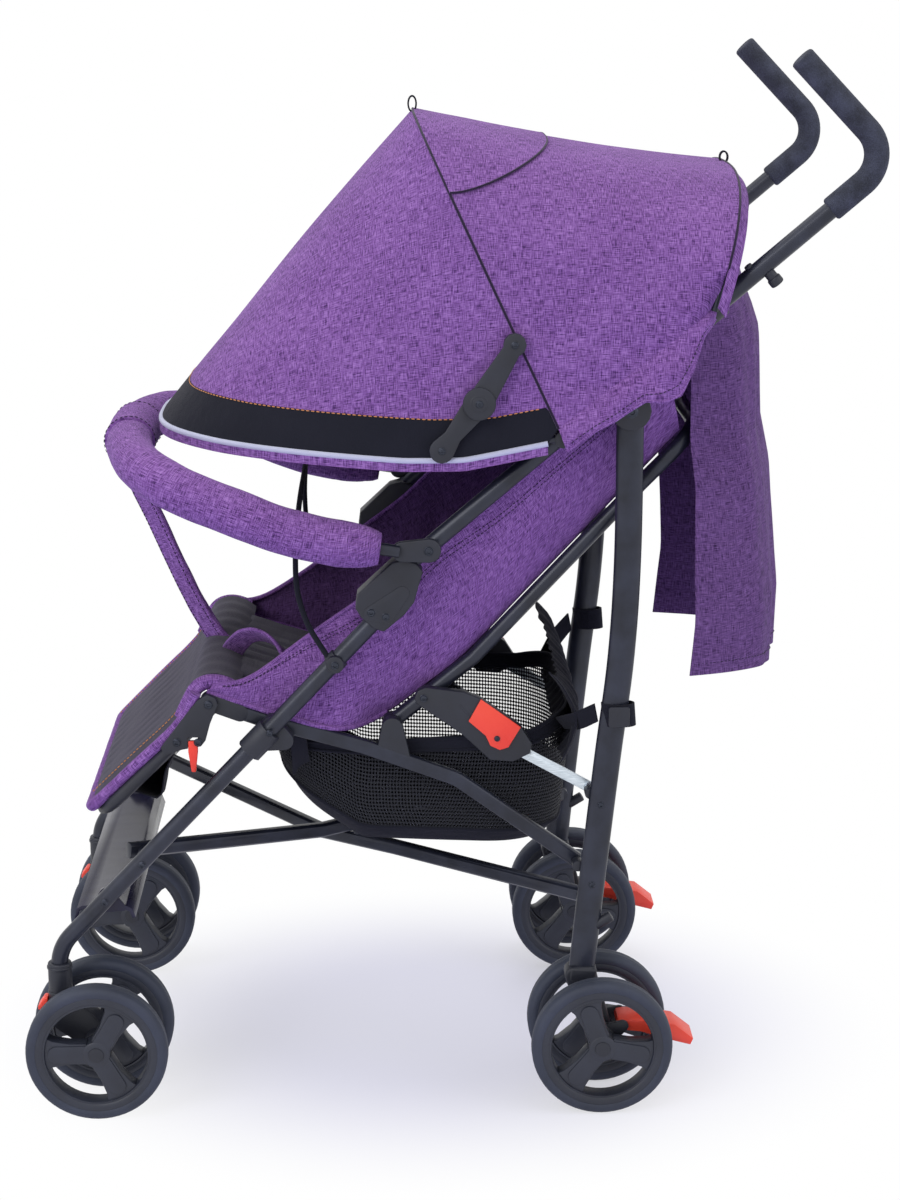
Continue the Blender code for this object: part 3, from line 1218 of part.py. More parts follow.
def build():
    clear_scene()
    root = add_empty("stroller", (0, 0, 0))
    backrest = pivot_at("backrest_pivot", 0, BACK_PIVOT, root)
    legrest = pivot_at("legrest_pivot", 0, CALF_PIVOT, root)
    bumper = pivot_at("bumper_pivot", 0, BUMPER_PIVOT, root)
    canopy = pivot_at("canopy_pivot", 0, HOOD_PIVOT, root)
    visor = pivot_at("visor_pivot", 0, HOOD_PIVOT, canopy)
    rear_frame = pivot_at("rear_frame_pivot", 0, HINGE, root)
    housings = pivot_at("housing_pivot", 0, RECLINE_PIVOT, backrest)
    strips = pivot_at("strip_pivot", 0, STRIP_PIN, housings)

    for side, sign in (("left", 1), ("right", -1)):
        x = sign * SIDE_X
        front_leg(sign, "front_leg_" + side, root)
        handle_tube(sign, "handle_tube_" + side, root)
        grip(sign, "grip_" + side, root)
        knee_bracket(sign, "knee_bracket_" + side, root)
        tee_bracket(sign, "tee_bracket_" + side, root)
        top_hinge(sign, "top_hinge_" + side, root)
        rear_leg(sign, "rear_leg_" + side, rear_frame)
        seat_rail(sign, "seat_rail_" + side, root)

        castor = pivot_at("castor_pivot_" + side, x, (STEM_Y, SOCKET_LOW), root)
        castor_fork(sign, "castor_fork_" + side, castor)
        lock = pivot_at("swivel_lock_pivot_" + side, x, (STEM_Y - 0.017, SOCKET_LOW), castor)
        swivel_lock(sign, "swivel_lock_" + side, lock)
        pedal = pivot_at("brake_pivot_" + side, x, BRAKE_PIVOT, rear_frame)
        brake_pedal(sign, "brake_pedal_" + side, pedal)
        for place, offset in (("outer", 1), ("inner", -1)):
            wx = x + sign * offset * PAIR_SPACING / 2
            for end, y, parent in (("front", FRONT_AXLE_Y, castor), ("rear", REAR_AXLE_Y, rear_frame)):
                name = "wheel_%s_%s_%s" % (end, side, place)
                wheel(name, wx, y, pivot_at(name + "_pivot", wx, (y, WHEEL_RADIUS), parent))

        recline_housing(sign, "recline_housing_" + side, housings)
        recline_strip(sign, "recline_strip_" + side, strips)
        lever = pivot_at("recline_lever_pivot_" + side, sign * (SIDE_X - 0.018), (0.157, 0.400), housings)
        recline_lever(sign, "recline_lever_" + side, lever)
        trigger = pivot_at("legrest_trigger_pivot_" + side, sign * (SIDE_X - 0.014), TRIGGER_TOP, legrest)
        legrest_trigger(sign, "legrest_trigger_" + side, trigger)
        low = pivot_at("elbow_lower_pivot_" + side, sign * HOOD_HALF, ELBOW_LOW, visor)
        elbow_lower(sign, "elbow_lower_" + side, low)
        high = pivot_at("elbow_upper_pivot_" + side, sign * HOOD_HALF, ELBOW_HIGH, canopy)
        elbow_upper(sign, "elbow_upper_" + side, high)

    backrest_frame("backrest_frame", backrest)
    legrest_frame("legrest_frame", legrest)
    cross_bar(1, "cross_bar_upper", BAR_MIDDLE_HIGH, root)
    cross_bar(-1, "cross_bar_lower", BAR_MIDDLE_LOW, root)
    footrest("footrest", root)
    bumper_bar("bumper_bar", bumper)
    bumper_sleeve("bumper_sleeve", bumper)
    main_bow("canopy_main_bow", canopy)
    front_bow("canopy_front_bow", visor)
    rear_bow("canopy_rear_bow", root)
    hood("hood", root)
    seat_sling("seat_sling", root)
    seat_pad("seat_pad", root)
    backrest_pad("backrest_pad", backrest)
    calf_pad("calf_pad", legrest)
    basket("basket", root)
    rear_flap("rear_flap", root)
    guard_hoop("guard_hoop", root)

    for item in list(bpy.data.objects):
        if item.type == "MESH" and item.parent is None:
            item.parent = root
    root.location.y = SHIFT
    bpy.context.view_layer.update()


SHIFT = -0.0985         # puts the middle of the whole object over the origin

build()
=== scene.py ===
import json
import math
from math import cos, pi, radians, sin

import bpy
from mathutils import Matrix, Quaternion, Vector, noise

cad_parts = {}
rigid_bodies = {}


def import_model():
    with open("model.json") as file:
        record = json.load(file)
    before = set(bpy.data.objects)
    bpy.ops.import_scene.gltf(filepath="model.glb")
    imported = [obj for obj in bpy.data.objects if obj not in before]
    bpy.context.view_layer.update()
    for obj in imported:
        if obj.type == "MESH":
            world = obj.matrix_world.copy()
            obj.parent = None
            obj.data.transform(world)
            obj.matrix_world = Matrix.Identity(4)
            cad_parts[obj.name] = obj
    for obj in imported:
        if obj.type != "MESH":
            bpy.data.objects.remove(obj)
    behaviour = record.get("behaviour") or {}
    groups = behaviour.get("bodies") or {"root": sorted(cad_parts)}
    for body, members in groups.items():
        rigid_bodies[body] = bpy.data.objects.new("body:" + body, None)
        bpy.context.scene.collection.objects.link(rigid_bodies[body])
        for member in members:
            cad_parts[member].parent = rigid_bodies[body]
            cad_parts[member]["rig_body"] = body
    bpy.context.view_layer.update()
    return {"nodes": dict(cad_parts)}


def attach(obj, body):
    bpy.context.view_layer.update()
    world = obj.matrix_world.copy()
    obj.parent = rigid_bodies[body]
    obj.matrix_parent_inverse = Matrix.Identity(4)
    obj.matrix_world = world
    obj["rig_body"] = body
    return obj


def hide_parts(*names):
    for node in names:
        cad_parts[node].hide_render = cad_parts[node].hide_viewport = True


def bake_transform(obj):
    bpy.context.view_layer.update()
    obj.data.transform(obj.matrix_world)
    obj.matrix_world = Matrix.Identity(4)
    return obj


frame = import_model()
scene = bpy.context.scene
shift = -0.0985    # side views are drawn with y = 0 half way between the axles
sideX = 0.192      # middle of each side frame
sides = (("left", 1), ("right", -1))
white = (1.0, 1.0, 1.0, 1.0)


def spot(x, y, z):
    return Vector((x, y + shift, z))


def tone(red, green, blue):
    # from the 0 to 255 of a picture to the linear colour of a shader
    return tuple((c / 255 / 12.92 if c < 10.3 else ((c / 255 + 0.055) / 1.055) ** 2.4) for c in (red, green, blue)) + (1.0,)


def clamp(value):
    return min(1.0, max(0.0, value))


def ruffle(x, y, z):
    # smooth noise from -1 to 1
    return noise.noise(Vector((x, y, z)))


def between(values, place):
    k = min(len(values) - 2, int(place))
    return values[k] + (values[k + 1] - values[k]) * (place - k)


# view and light

shot = {"at": (2.5746, -0.0587, 1.1809), "turn": (75.298, 0.0, 88.3846), "lens": 72.0}
lampAim = Vector((0, 0, 0.5))
lamps = {
    "frontLamp": {"at": (2.6, -2.6, 2.8), "size": 2.4, "watts": 62},
    "backLamp": {"at": (1.4, 3.2, 2.2), "size": 2.6, "watts": 26},
    "topLamp": {"at": (-0.6, -0.2, 3.6), "size": 3.0, "watts": 34},
}

eye = bpy.data.cameras.new("eye")
eye.lens = shot["lens"]
eyeObject = bpy.data.objects.new("eye", eye)
eyeObject.location = shot["at"]
eyeObject.rotation_euler = [radians(a) for a in shot["turn"]]
scene.collection.objects.link(eyeObject)
scene.camera = eyeObject
scene.view_settings.view_transform = "Standard"

for lampName, facts in lamps.items():
    lamp = bpy.data.lights.new(lampName, "AREA")
    lamp.size = facts["size"]
    lamp.energy = facts["watts"]
    lampObject = bpy.data.objects.new(lampName, lamp)
    lampObject.location = facts["at"]
    lampObject.rotation_euler = (lampAim - Vector(facts["at"])).to_track_quat("-Z", "Y").to_euler()
    scene.collection.objects.link(lampObject)


# shader maths

def maths(operation, swapped=False):
    def work(self, other):
        pair = (other, self) if swapped else (self, other)
        return self.finish.maths(operation, *pair)
    return work


class Value:
    __add__, __radd__ = maths("ADD"), maths("ADD", True)
    __sub__, __rsub__ = maths("SUBTRACT"), maths("SUBTRACT", True)
    __mul__, __rmul__ = maths("MULTIPLY"), maths("MULTIPLY", True)
    __gt__ = maths("GREATER_THAN")

    def __init__(self, finish, socket):
        self.finish = finish
        self.socket = socket


class Finish:
    def __init__(self, name, tree=None, **numbers):
        if tree is None:
            self.material = bpy.data.materials.new(name)
            self.material.use_nodes = True
            tree = self.material.node_tree
            self.shader = tree.nodes["Principled BSDF"]
            for key, value in numbers.items():
                self.shader.inputs[key.replace("_", " ")].default_value = value
        self.tree = tree

    def feed(self, socket, value):
        if isinstance(value, Value):
            self.tree.links.new(value.socket, socket)
        else:
            socket.default_value = value

    def add(self, kind, settings=None, sockets=None, out=0):
        node = self.tree.nodes.new(kind)
        for key, value in (settings or {}).items():
            setattr(node, key, value)
        for key, value in (sockets or {}).items():
            self.feed(node.inputs[key], value)
        return Value(self, node.outputs[out])

    def maths(self, operation, *inputs):
        return self.add("ShaderNodeMath", {"operation": operation}, dict(enumerate(inputs)))

    def set(self, **sockets):
        for key, value in sockets.items():
            self.feed(self.shader.inputs[key.replace("_", " ")], value)
        return self.material

    def cloth(self):
        return self.add("ShaderNodeUVMap", {"uv_map": "metres"})

    def solid(self):
        return self.add("ShaderNodeTexCoord", out=3)

    def spread(self, vector, factors):
        factors = factors if isinstance(factors, tuple) else (factors,) * 3
        return self.add("ShaderNodeVectorMath", {"operation": "MULTIPLY"}, {0: vector, 1: factors})

    def grain(self, vector, factors, detail=2.0, roughness=0.5):
        return self.add("ShaderNodeTexNoise", {"noise_dimensions": "3D"},
                        {"Vector": self.spread(vector, factors), "Scale": 1.0, "Detail": detail, "Roughness": roughness})

    def ramp(self, factor, *stops):
        value = self.add("ShaderNodeValToRGB", {}, {0: factor})
        elements = value.socket.node.color_ramp.elements
        while len(elements) < len(stops):
            elements.new(0.5)
        for element, (place, colour) in zip(elements, stops):
            element.position = place
            element.color = colour
        return value

    def twoTone(self, factor, dark, light, low=0.3, high=0.7):
        return self.ramp(factor, (low, tone(*dark)), (high, tone(*light)))

    def tint(self, factor, first, second):
        return self.add("ShaderNodeMix", {"data_type": "RGBA"}, {0: factor, 6: first, 7: second}, out=2)

    def bump(self, height, distance, strength=1.0, normal=None):
        sockets = {"Height": height, "Distance": distance, "Strength": strength}
        if normal is not None:
            sockets["Normal"] = normal
        return self.add("ShaderNodeBump", {}, sockets)

    def looked(self, *rays):
        path = self.tree.nodes.new("ShaderNodeLightPath")
        values = [Value(self, path.outputs["Is %s Ray" % ray]) for ray in rays]
        seen = values[0]
        for value in values[1:]:
            seen = self.maths("MAXIMUM", seen, value)
        return seen


def paintedMetal(name, dark, light, roughness):
    finish = Finish(name, Metallic=0.35, Coat_Weight=0.15)
    place = finish.solid()
    cloud = finish.grain(place, 30, 3)
    fleck = finish.grain(place, 1800, 1)
    return finish.set(Base_Color=finish.twoTone(cloud, dark, light), Roughness=roughness + 0.16 * cloud,
                      Normal=finish.bump(fleck, 0.0002, 0.35))


def mouldedPlastic(name, dark, light, roughness, grain=1400):
    finish = Finish(name)
    place = finish.solid()
    cloud = finish.grain(place, 22, 3)
    texture = finish.grain(place, grain, 2)
    rub = finish.grain(place, 160, 4, 0.7)
    worn = tone(*[min(255, c + 18) for c in light])
    return finish.set(Base_Color=finish.tint(rub * 0.35, finish.twoTone(cloud, dark, light), worn),
                      Roughness=roughness + 0.18 * rub, Normal=finish.bump(texture, 0.0003, 0.5))


def glossPlastic(name, dark, light):
    finish = Finish(name, Coat_Weight=0.05, Coat_Roughness=0.06, Specular_IOR_Level=0.28)
    cloud = finish.grain(finish.solid(), 18, 2)
    return finish.set(Base_Color=finish.twoTone(cloud, dark, light), Roughness=0.16 + 0.14 * cloud,
                      Normal=finish.bump(cloud, 0.004, 0.25))


def gripFoam(name, dark, light):
    finish = Finish(name)
    place = finish.solid()
    pores = finish.add("ShaderNodeTexVoronoi", {}, {"Vector": finish.spread(place, 700), "Scale": 1.0})
    cloud = finish.grain(place, 60, 4)
    return finish.set(Base_Color=finish.twoTone(cloud + 0.25 * pores, dark, light, 0.4, 0.9),
                      Roughness=0.82 + 0.12 * cloud, Normal=finish.bump(pores, 0.0007, 0.7))


def platedSteel(name, dark, light):
    finish = Finish(name, Metallic=0.9)
    brush = finish.grain(finish.solid(), (90, 90, 2600), 2)
    return finish.set(Base_Color=finish.twoTone(brush, dark, light), Roughness=0.22 + 0.25 * brush,
                      Normal=finish.bump(brush, 0.0002, 0.3))


def wovenCloth(name, dark, middle, light, contrast, thread, crease=0.35, sheen=0.25):
    finish = Finish(name, Sheen_Weight=sheen, Sheen_Roughness=0.5, Specular_IOR_Level=0.14)
    place = finish.cloth()
    long, short = thread
    warp = finish.grain(place, (long, short, 1), 2)
    weft = finish.grain(place, (short, long, 1), 2)
    slub = finish.grain(place, (short * 2.2, long * 0.33, 3), 3, 0.6)
    cloud = finish.grain(place, (14, 14, 1), 3)
    threads = (warp + weft) * 0.5
    mix = 0.5 + contrast * ((threads * 0.86 + slub * 0.14) - 0.5) + 0.12 * (cloud - 0.5)
    creases = finish.grain(place, (16, 38, 5), 4, 0.55)
    weave = finish.bump(threads, 0.0006, 0.55)
    return finish.set(Base_Color=finish.ramp(mix, (0.32, tone(*dark)), (0.50, tone(*middle)), (0.70, tone(*light))),
                      Roughness=0.80 + 0.14 * warp, Normal=finish.bump(creases, 0.006, crease, weave))


def openMesh(name, dark, light, pitch=0.0034, share=0.15):
    finish = Finish(name)
    place = finish.cloth()
    turns = 2 * pi / pitch
    split = finish.tree.nodes.new("ShaderNodeSeparateXYZ")
    finish.feed(split.inputs[0], finish.spread(place, (turns, turns * 0.8, 1)))
    across, down = [finish.maths("COSINE", Value(finish, split.outputs[i])) for i in (0, 1)]
    hole = (across + down) > share
    knit = finish.grain(place, (900, 900, 1), 2)
    return finish.set(Base_Color=finish.twoTone(knit, dark, light), Roughness=0.7 + 0.2 * knit,
                      Alpha=1.0 - hole * 0.92, Normal=finish.bump(across + down, 0.0006, 0.5))


linen, fine = (1600, 90), (2400, 2400)
# each finish, with the name of its part slot
finishes = {
    "frame": (paintedMetal("powderCoat", (28, 31, 43), (45, 49, 64), 0.32), "frame"),
    "plastic": (mouldedPlastic("bracketPlastic", (19, 21, 31), (31, 34, 46), 0.42), "plastic"),
    "gloss": (glossPlastic("glossPlastic", (26, 25, 42), (44, 43, 66)), "plastic"),
    "foam": (gripFoam("gripFoam", (36, 39, 50), (70, 74, 90)), "foam"),
    "tyre": (mouldedPlastic("tyreRubber", (34, 39, 52), (52, 58, 74), 0.56, 900), "tyre"),
    "rim": (mouldedPlastic("wheelPlastic", (25, 28, 39), (40, 44, 57), 0.36), "tyre"),
    "red": (mouldedPlastic("redPlastic", (250, 58, 40), (255, 78, 54), 0.34), "red_plastic"),
    "steel": (platedSteel("platedSteel", (178, 190, 200), (232, 240, 248)), "steel"),
    "bolt": (platedSteel("blackBolt", (42, 45, 54), (74, 78, 90)), "steel"),
}
cloths = {
    "purple": ("purple_fabric", "purpleMelange", (66, 40, 88), (130, 86, 156), (166, 124, 192), 2.0, linen, 0.45, 0.05),
    # the seat base's cloth: a painted shade copy of the purple melange at about half brightness, for the shade inside
    # the seat
    "deepShadePurple": ("purple_fabric", "purpleLining", (34, 20, 46), (64, 42, 80), (84, 60, 102), 1.5, linen),
    # curtain: a painted shade copy of the purple melange, about a fifth darker, for the rear curtain and the far seat
    # side panel
    "curtain": ("purple_fabric", "purpleCurtain", (50, 30, 67), (101, 70, 122), (130, 96, 152), 1.8, linen, 0.7, 0.05),
    "charcoal": ("charcoal_fabric", "charcoalWeave", (50, 48, 58), (72, 69, 80), (92, 89, 101), 0.8, (1500, 380), 0.3, 0.1),
    "band": ("charcoal_fabric", "blackCloth", (16, 17, 24), (30, 31, 40), (44, 44, 55), 0.6, (2000, 800), 0.5, 0.05),
    "piping": ("charcoal_fabric", "silverPiping", (168, 170, 196), (196, 198, 220), (216, 218, 236), 0.6, fine, 0.1),
    "seam": ("purple_fabric", "darkSeam", (24, 13, 34), (38, 23, 52), (52, 34, 68), 0.6, fine, 0.1),
    "thread": ("charcoal_fabric", "orangeThread", (186, 106, 50), (218, 142, 76), (240, 180, 120), 0.6, fine, 0.1),
}
for key, (fabric, *facts) in cloths.items():
    finishes[key] = (wovenCloth(*facts), fabric)
finishes["netting"] = (openMesh("basketNetting", (12, 14, 22), (28, 30, 42)), "mesh_fabric")

# the background is white to the camera and in gloss, and plain soft light to everything else
skyFacts = {"colour": (0.94, 0.95, 1.0, 1.0), "strength": 0.62}
sky = bpy.data.worlds.new("studio")
sky.use_nodes = True
scene.world = sky
studio = Finish("studio", sky.node_tree)
soft = sky.node_tree.nodes["Background"]
soft.inputs[0].default_value = skyFacts["colour"]
soft.inputs[1].default_value = skyFacts["strength"]
seen = studio.add("ShaderNodeBackground", {}, {0: white, 1: 1.0})
both = studio.add("ShaderNodeMixShader", {},
                  {0: studio.looked("Camera", "Glossy", "Transmission"), 1: Value(studio, soft.outputs[0]), 2: seen})
studio.feed(sky.node_tree.nodes["World Output"].inputs[0], both)

# away from the wheels the floor turns into the white of the background, to the camera and in gloss. Near the wheels its
# lavender colour is a painted shade tint, and the white emission mixed in there at the glow share lifts its shade to
# the camera
# dark and colour are the lavender painted shade tint of the floor; glow is the share of white emission near the wheels,
# which lifts the floor's shade
floorFacts = {"size": 30.0, "dark": (0.71, 0.70, 0.98, 1), "colour": (0.74, 0.73, 1.0, 1.0), "fade": (1.95, 1.55, 1.0),
              "near": 0.26, "far": 0.84, "glow": 0.42}
bpy.ops.object.select_all(action="DESELECT")
bpy.ops.mesh.primitive_plane_add(size=floorFacts["size"], location=(0, 0, 0))
ground = bpy.context.active_object
ground.name = "ground"
pale = Finish("paleFloor", Roughness=0.5)
pale.set(Base_Color=pale.ramp(pale.grain(pale.solid(), 3, 2), (0.2, floorFacts["dark"]), (0.8, floorFacts["colour"])))
distance = pale.add("ShaderNodeVectorMath", {"operation": "LENGTH"}, {0: pale.spread(pale.solid(), floorFacts["fade"])}, out=1)
fade = pale.add("ShaderNodeMapRange", {"interpolation_type": "SMOOTHSTEP"},
                {0: distance, 1: floorFacts["near"], 2: floorFacts["far"], 3: floorFacts["glow"], 4: 1.0})
paper = pale.add("ShaderNodeEmission", {}, {0: white, 1: 1.0})
blank = pale.add("ShaderNodeMixShader", {},
                 {0: fade * pale.looked("Camera", "Glossy"), 1: Value(pale, pale.shader.outputs[0]), 2: paper})
pale.feed(pale.tree.nodes["Material Output"].inputs[0], blank)
ground.data.materials.append(pale.material)
print("studio and finishes")


# making and placing pieces

def pick(piece):
    bpy.ops.object.select_all(action="DESELECT")
    piece.select_set(True)
    bpy.context.view_layer.objects.active = piece


def settle(piece):
    pick(piece)
    for step in list(piece.modifiers):
        bpy.ops.object.modifier_apply(modifier=step.name)


def dress(piece, finish, body="chassis", replaces=(), toBody=None, line=None, angle=40, slot=None):
    material, ownSlot = finishes[finish]
    piece.data.materials.clear()
    piece.data.materials.append(material)
    pick(piece)
    bpy.ops.object.shade_smooth_by_angle(angle=radians(angle))
    if toBody:
        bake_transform(piece)
    else:
        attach(piece, body)
    slot or ownSlot
    if replaces:
        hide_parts(*replaces)
    return piece


def placed(name, mesh):
    piece = bpy.data.objects.new(name, mesh)
    scene.collection.objects.link(piece)
    return piece


def newMesh(name, points, faces, coords=None):
    mesh = bpy.data.meshes.new(name)
    mesh.from_pydata([tuple(p) for p in points], [], faces)
    layer = mesh.uv_layers.new(name="metres")
    if coords:
        for loop in mesh.loops:
            layer.data[loop.index].uv = coords[loop.vertex_index]
    mesh.update()
    return placed(name, mesh)


def circle(steps, whole=False):
    return [2 * pi * i / steps for i in range(steps + 1 if whole else steps)]


def smoothPath(points, steps):
    points = [Vector(p) for p in points]
    points = [points[0] * 2 - points[1]] + points + [points[-1] * 2 - points[-2]]
    out = []
    for a, b, c, d in zip(points, points[1:], points[2:], points[3:]):
        for i in range(steps):
            t = i / steps
            out.append(0.5 * ((2 * b) + (c - a) * t + (2 * a - 5 * b + 4 * c - d) * t * t
                              + (3 * b - a - 3 * c + d) * t ** 3))
    out.append(points[-2])
    return out


def evenPath(points, count):
    lengths = [0.0]
    for a, b in zip(points, points[1:]):
        lengths.append(lengths[-1] + (b - a).length)
    out, k = [], 0
    for i in range(count):
        want = lengths[-1] * i / (count - 1)
        while k < len(points) - 2 and lengths[k + 1] < want:
            k += 1
        t = (want - lengths[k]) / max(1e-9, lengths[k + 1] - lengths[k])
        out.append(points[k].lerp(points[k + 1], clamp(t)))
    return out


def softPath(points, steps, count):
    return evenPath(smoothPath([spot(*p) for p in points], steps), count)


def roundCorners(points, radius, steps=8):
    points = [Vector(p) for p in points]
    out = [points[0]]
    for before, corner, after in zip(points, points[1:], points[2:]):
        into, away = (before - corner).normalized(), (after - corner).normalized()
        half = into.angle(away) / 2
        if half > radians(89.0):
            out.append(corner)
            continue
        reach = min(radius / math.tan(half), 0.48 * (before - corner).length, 0.48 * (after - corner).length)
        centre = corner + (into + away).normalized() * (reach * math.tan(half) / sin(half))
        first, last = corner + into * reach - centre, corner + away * reach - centre
        turn, axis = first.angle(last), first.cross(last).normalized()
        for i in range(steps + 1):
            spoke = first.copy()
            spoke.rotate(Quaternion(axis, turn * i / steps))
            out.append(centre + spoke)
    out.append(points[-1])
    return out


def bothWays(points):
    # one half of a bow or bar, from its outer end to the middle, and then its mirror
    return points + [(-x, y, z) for x, y, z in points[-2::-1]]


def ring(radius, sides=20, height=None):
    return [(radius * cos(a), (height or radius) * sin(a)) for a in circle(sides)]


def softBox(width, height, corner, steps=4):
    out = []
    for cx, cy, turn in ((1, 1, 0), (-1, 1, 90), (-1, -1, 180), (1, -1, 270)):
        for i in range(steps + 1):
            a = radians(turn + 90 * i / steps)
            out.append((cx * (width / 2 - corner) + corner * cos(a), cy * (height / 2 - corner) + corner * sin(a)))
    return out


def faceOut(piece):
    pick(piece)
    bpy.ops.object.mode_set(mode="EDIT")
    bpy.ops.mesh.select_all(action="SELECT")
    bpy.ops.mesh.normals_make_consistent(inside=False)
    bpy.ops.object.mode_set(mode="OBJECT")


def soften(piece, width, segments, angle):
    step = piece.modifiers.new("edge", "BEVEL")
    step.width = width
    step.segments = segments
    step.limit_method = "ANGLE"
    step.angle_limit = radians(angle)
    step.use_clamp_overlap = True
    settle(piece)


def sweepTube(name, path, section, side=(1, 0, 0), upright=False, scales=None, cap=0.0, ripple=None):
    # side=None carries the section along a path that turns freely
    path = [Vector(p) for p in path]
    points, coords, faces = [], [], []
    count, sides = len(path), len(section)
    girth = [0.0]
    for a, b in zip(section, section[1:] + section[:1]):
        girth.append(girth[-1] + math.dist(a, b))
    travel = 0.0
    for i, point in enumerate(path):
        travel += (point - path[i - 1]).length if i else 0.0
        tangent = (path[min(i + 1, count - 1)] - path[max(i - 1, 0)]).normalized()
        if upright:
            across = tangent.cross(Vector((0, 0, 1))).normalized()
        elif side is None:
            carried = across if i else tangent.orthogonal()
            across = (carried - tangent * carried.dot(tangent)).normalized()
        else:
            across = (Vector(side) - tangent * Vector(side).dot(tangent)).normalized()
        up = tangent.cross(across)
        scale = scales[i] if scales else 1.0
        for j, (a, b) in enumerate(section):
            grow = scale * (1.0 + (ripple(i / (count - 1), 2 * pi * j / sides) if ripple else 0.0))
            points.append(point + across * a * grow + up * b * grow)
            coords.append((girth[j] * scale, travel))
    for i in range(count - 1):
        for j in range(sides):
            k = (j + 1) % sides
            faces.append((i * sides + j, i * sides + k, (i + 1) * sides + k, (i + 1) * sides + j))
    faces.append(tuple(range(sides))[::-1])
    faces.append(tuple(range((count - 1) * sides, count * sides)))
    piece = newMesh(name, points, faces, coords)
    faceOut(piece)
    if cap:
        soften(piece, cap, 3, 60)
    return piece


def cord(name, path, count, radius, finish, body="chassis", replaces=(), sides=8, height=None, **more):
    path = evenPath(path, count) if count else path
    return dress(sweepTube(name, path, ring(radius, sides, height), side=None), finish, body, replaces, **more)


def fineCopy(node, finish, bevel, segments=2):
    source = frame["nodes"][node]
    piece = placed(node + "_fine", source.data.copy())
    pick(piece)
    bpy.ops.object.mode_set(mode="EDIT")
    bpy.ops.mesh.select_all(action="SELECT")
    bpy.ops.mesh.remove_doubles(threshold=0.00003)
    bpy.ops.mesh.dissolve_limited(angle_limit=radians(0.6))
    bpy.ops.object.mode_set(mode="OBJECT")
    soften(piece, bevel, segments, 42)
    return dress(piece, finish, source["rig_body"], [node])


def sheetGrid(name, rows, thick, weave):
    high, wide = len(rows), len(rows[0])
    points, coords, faces = [], [], []
    downs = [0.0] * wide
    area, widest = 0.0, 0.0
    for i, row in enumerate(rows):
        acrosses = [0.0]
        for a, b in zip(row, row[1:]):
            acrosses.append(acrosses[-1] + (b - a).length)
        widest = max(widest, acrosses[-1])
        for j, p in enumerate(row):
            if i:
                downs[j] += (p - rows[i - 1][j]).length
            points.append(p)
            coords.append(weave(p) if weave else (acrosses[j] - acrosses[wide // 2], downs[j]))
    for i in range(high - 1):
        for j in range(wide - 1):
            a, b, c, d = rows[i][j], rows[i][j + 1], rows[i + 1][j + 1], rows[i + 1][j]
            area += ((b - a).cross(c - a).length + (c - a).cross(d - a).length) / 2
            faces.append((i * wide + j, i * wide + j + 1, (i + 1) * wide + j + 1, (i + 1) * wide + j))
    piece = newMesh(name, points, faces, coords)
    step = piece.modifiers.new("wall", "SOLIDIFY")
    step.thickness = thick
    step.offset = 0.0
    settle(piece)
    return piece, widest, max(downs), area


def cloth(name, rows, finish, held, rests, thick, body="chassis", weave=None, **more):
    piece, wide, long, area = sheetGrid(name, rows, thick, weave)
    dress(piece, finish, body, angle=70, **more)
    min(area, wide * long)
    return piece


def stitchLine(name, path, stitch=(0.0038, 0.0016, 0.00055), finish="seam", body="chassis", **more):
    # stitch: length, gap and radius of one stitch
    long, gap, radius = stitch
    total = sum((b - a).length for a, b in zip(path, path[1:]))
    count = max(2, int(total / (long + gap)))
    dots = evenPath(path, count * 3 + 1)
    points, faces = [], []
    for i in range(count):
        a, b = dots[i * 3], dots[i * 3 + 2]
        run = (b - a).normalized()
        side = run.cross(Vector((0.31, 0.17, 0.93))).normalized()
        up = run.cross(side)
        base = len(points)
        for p, r in ((a, 0.35), (a.lerp(b, 0.2), 1.0), (a.lerp(b, 0.8), 1.0), (b, 0.35)):
            points += [p + (side * cos(q) + up * sin(q)) * radius * r for q in (0.0, 1.57, 3.14, 4.71)]
        for n in range(3):
            for m in range(4):
                k = (m + 1) % 4
                faces.append((base + n * 4 + m, base + n * 4 + k, base + n * 4 + 4 + k, base + n * 4 + 4 + m))
        faces += [(base + 3, base + 2, base + 1, base), (base + 12, base + 13, base + 14, base + 15)]
    return dress(newMesh(name, points, faces), finish, body, **more)


def turned(name, profile, at, steps, facing=1):
    mesh = bpy.data.meshes.new(name)
    mesh.from_pydata([(facing * a, 0.0, r) for a, r in profile], [(i, i + 1) for i in range(len(profile) - 1)], [])
    piece = placed(name, mesh)
    step = piece.modifiers.new("turn", "SCREW")
    step.axis = "X"
    step.steps = step.render_steps = steps
    step.use_merge_vertices = True
    step.merge_threshold = 0.00002
    settle(piece)
    faceOut(piece)
    putAt(piece, at)
    return piece


def putAt(piece, at):
    piece.location = at
    pick(piece)
    bpy.ops.object.transform_apply(location=True, rotation=False, scale=False)


# outer wall, rounded top and middle recess of a bolt head (across, share of its radius)
boltEdge = [(0.0, 0.0), (0.0, 1.06), (0.0007, 1.06), (0.0009, 0.96), (0.0019, 0.80), (0.0023, 0.56), (0.0023, 0.46),
            (0.0011, 0.40), (0.0011, 0.0)]


def boltHead(name, x, y, z, body, radius, facing):
    profile = [(across, radius * share) for across, share in boltEdge]
    return dress(turned(name, profile, spot(x, y, z), 20, facing), "bolt", body, angle=30)


def sidePath(points, x):
    return [spot(x, y, z) for y, z in points]


def roundHull(*circles):
    # the outline of a band stretched round circles (y, z, radius)
    points = sorted({(round(y + radius * cos(a), 6), round(z + radius * sin(a), 6))
                     for y, z, radius in circles for a in circle(32)})

    def half(run):
        kept = []
        for p in run:
            while len(kept) > 1:
                a, b = kept[-2], kept[-1]
                if (b[0] - a[0]) * (p[1] - a[1]) - (b[1] - a[1]) * (p[0] - a[0]) > 1e-9:
                    break
                kept.pop()
            kept.append(p)
        return kept[:-1]

    return half(points) + half(points[::-1])


def roundOutline(y, z, radius):
    return [(y + radius * cos(a), z + radius * sin(a)) for a in circle(28)]


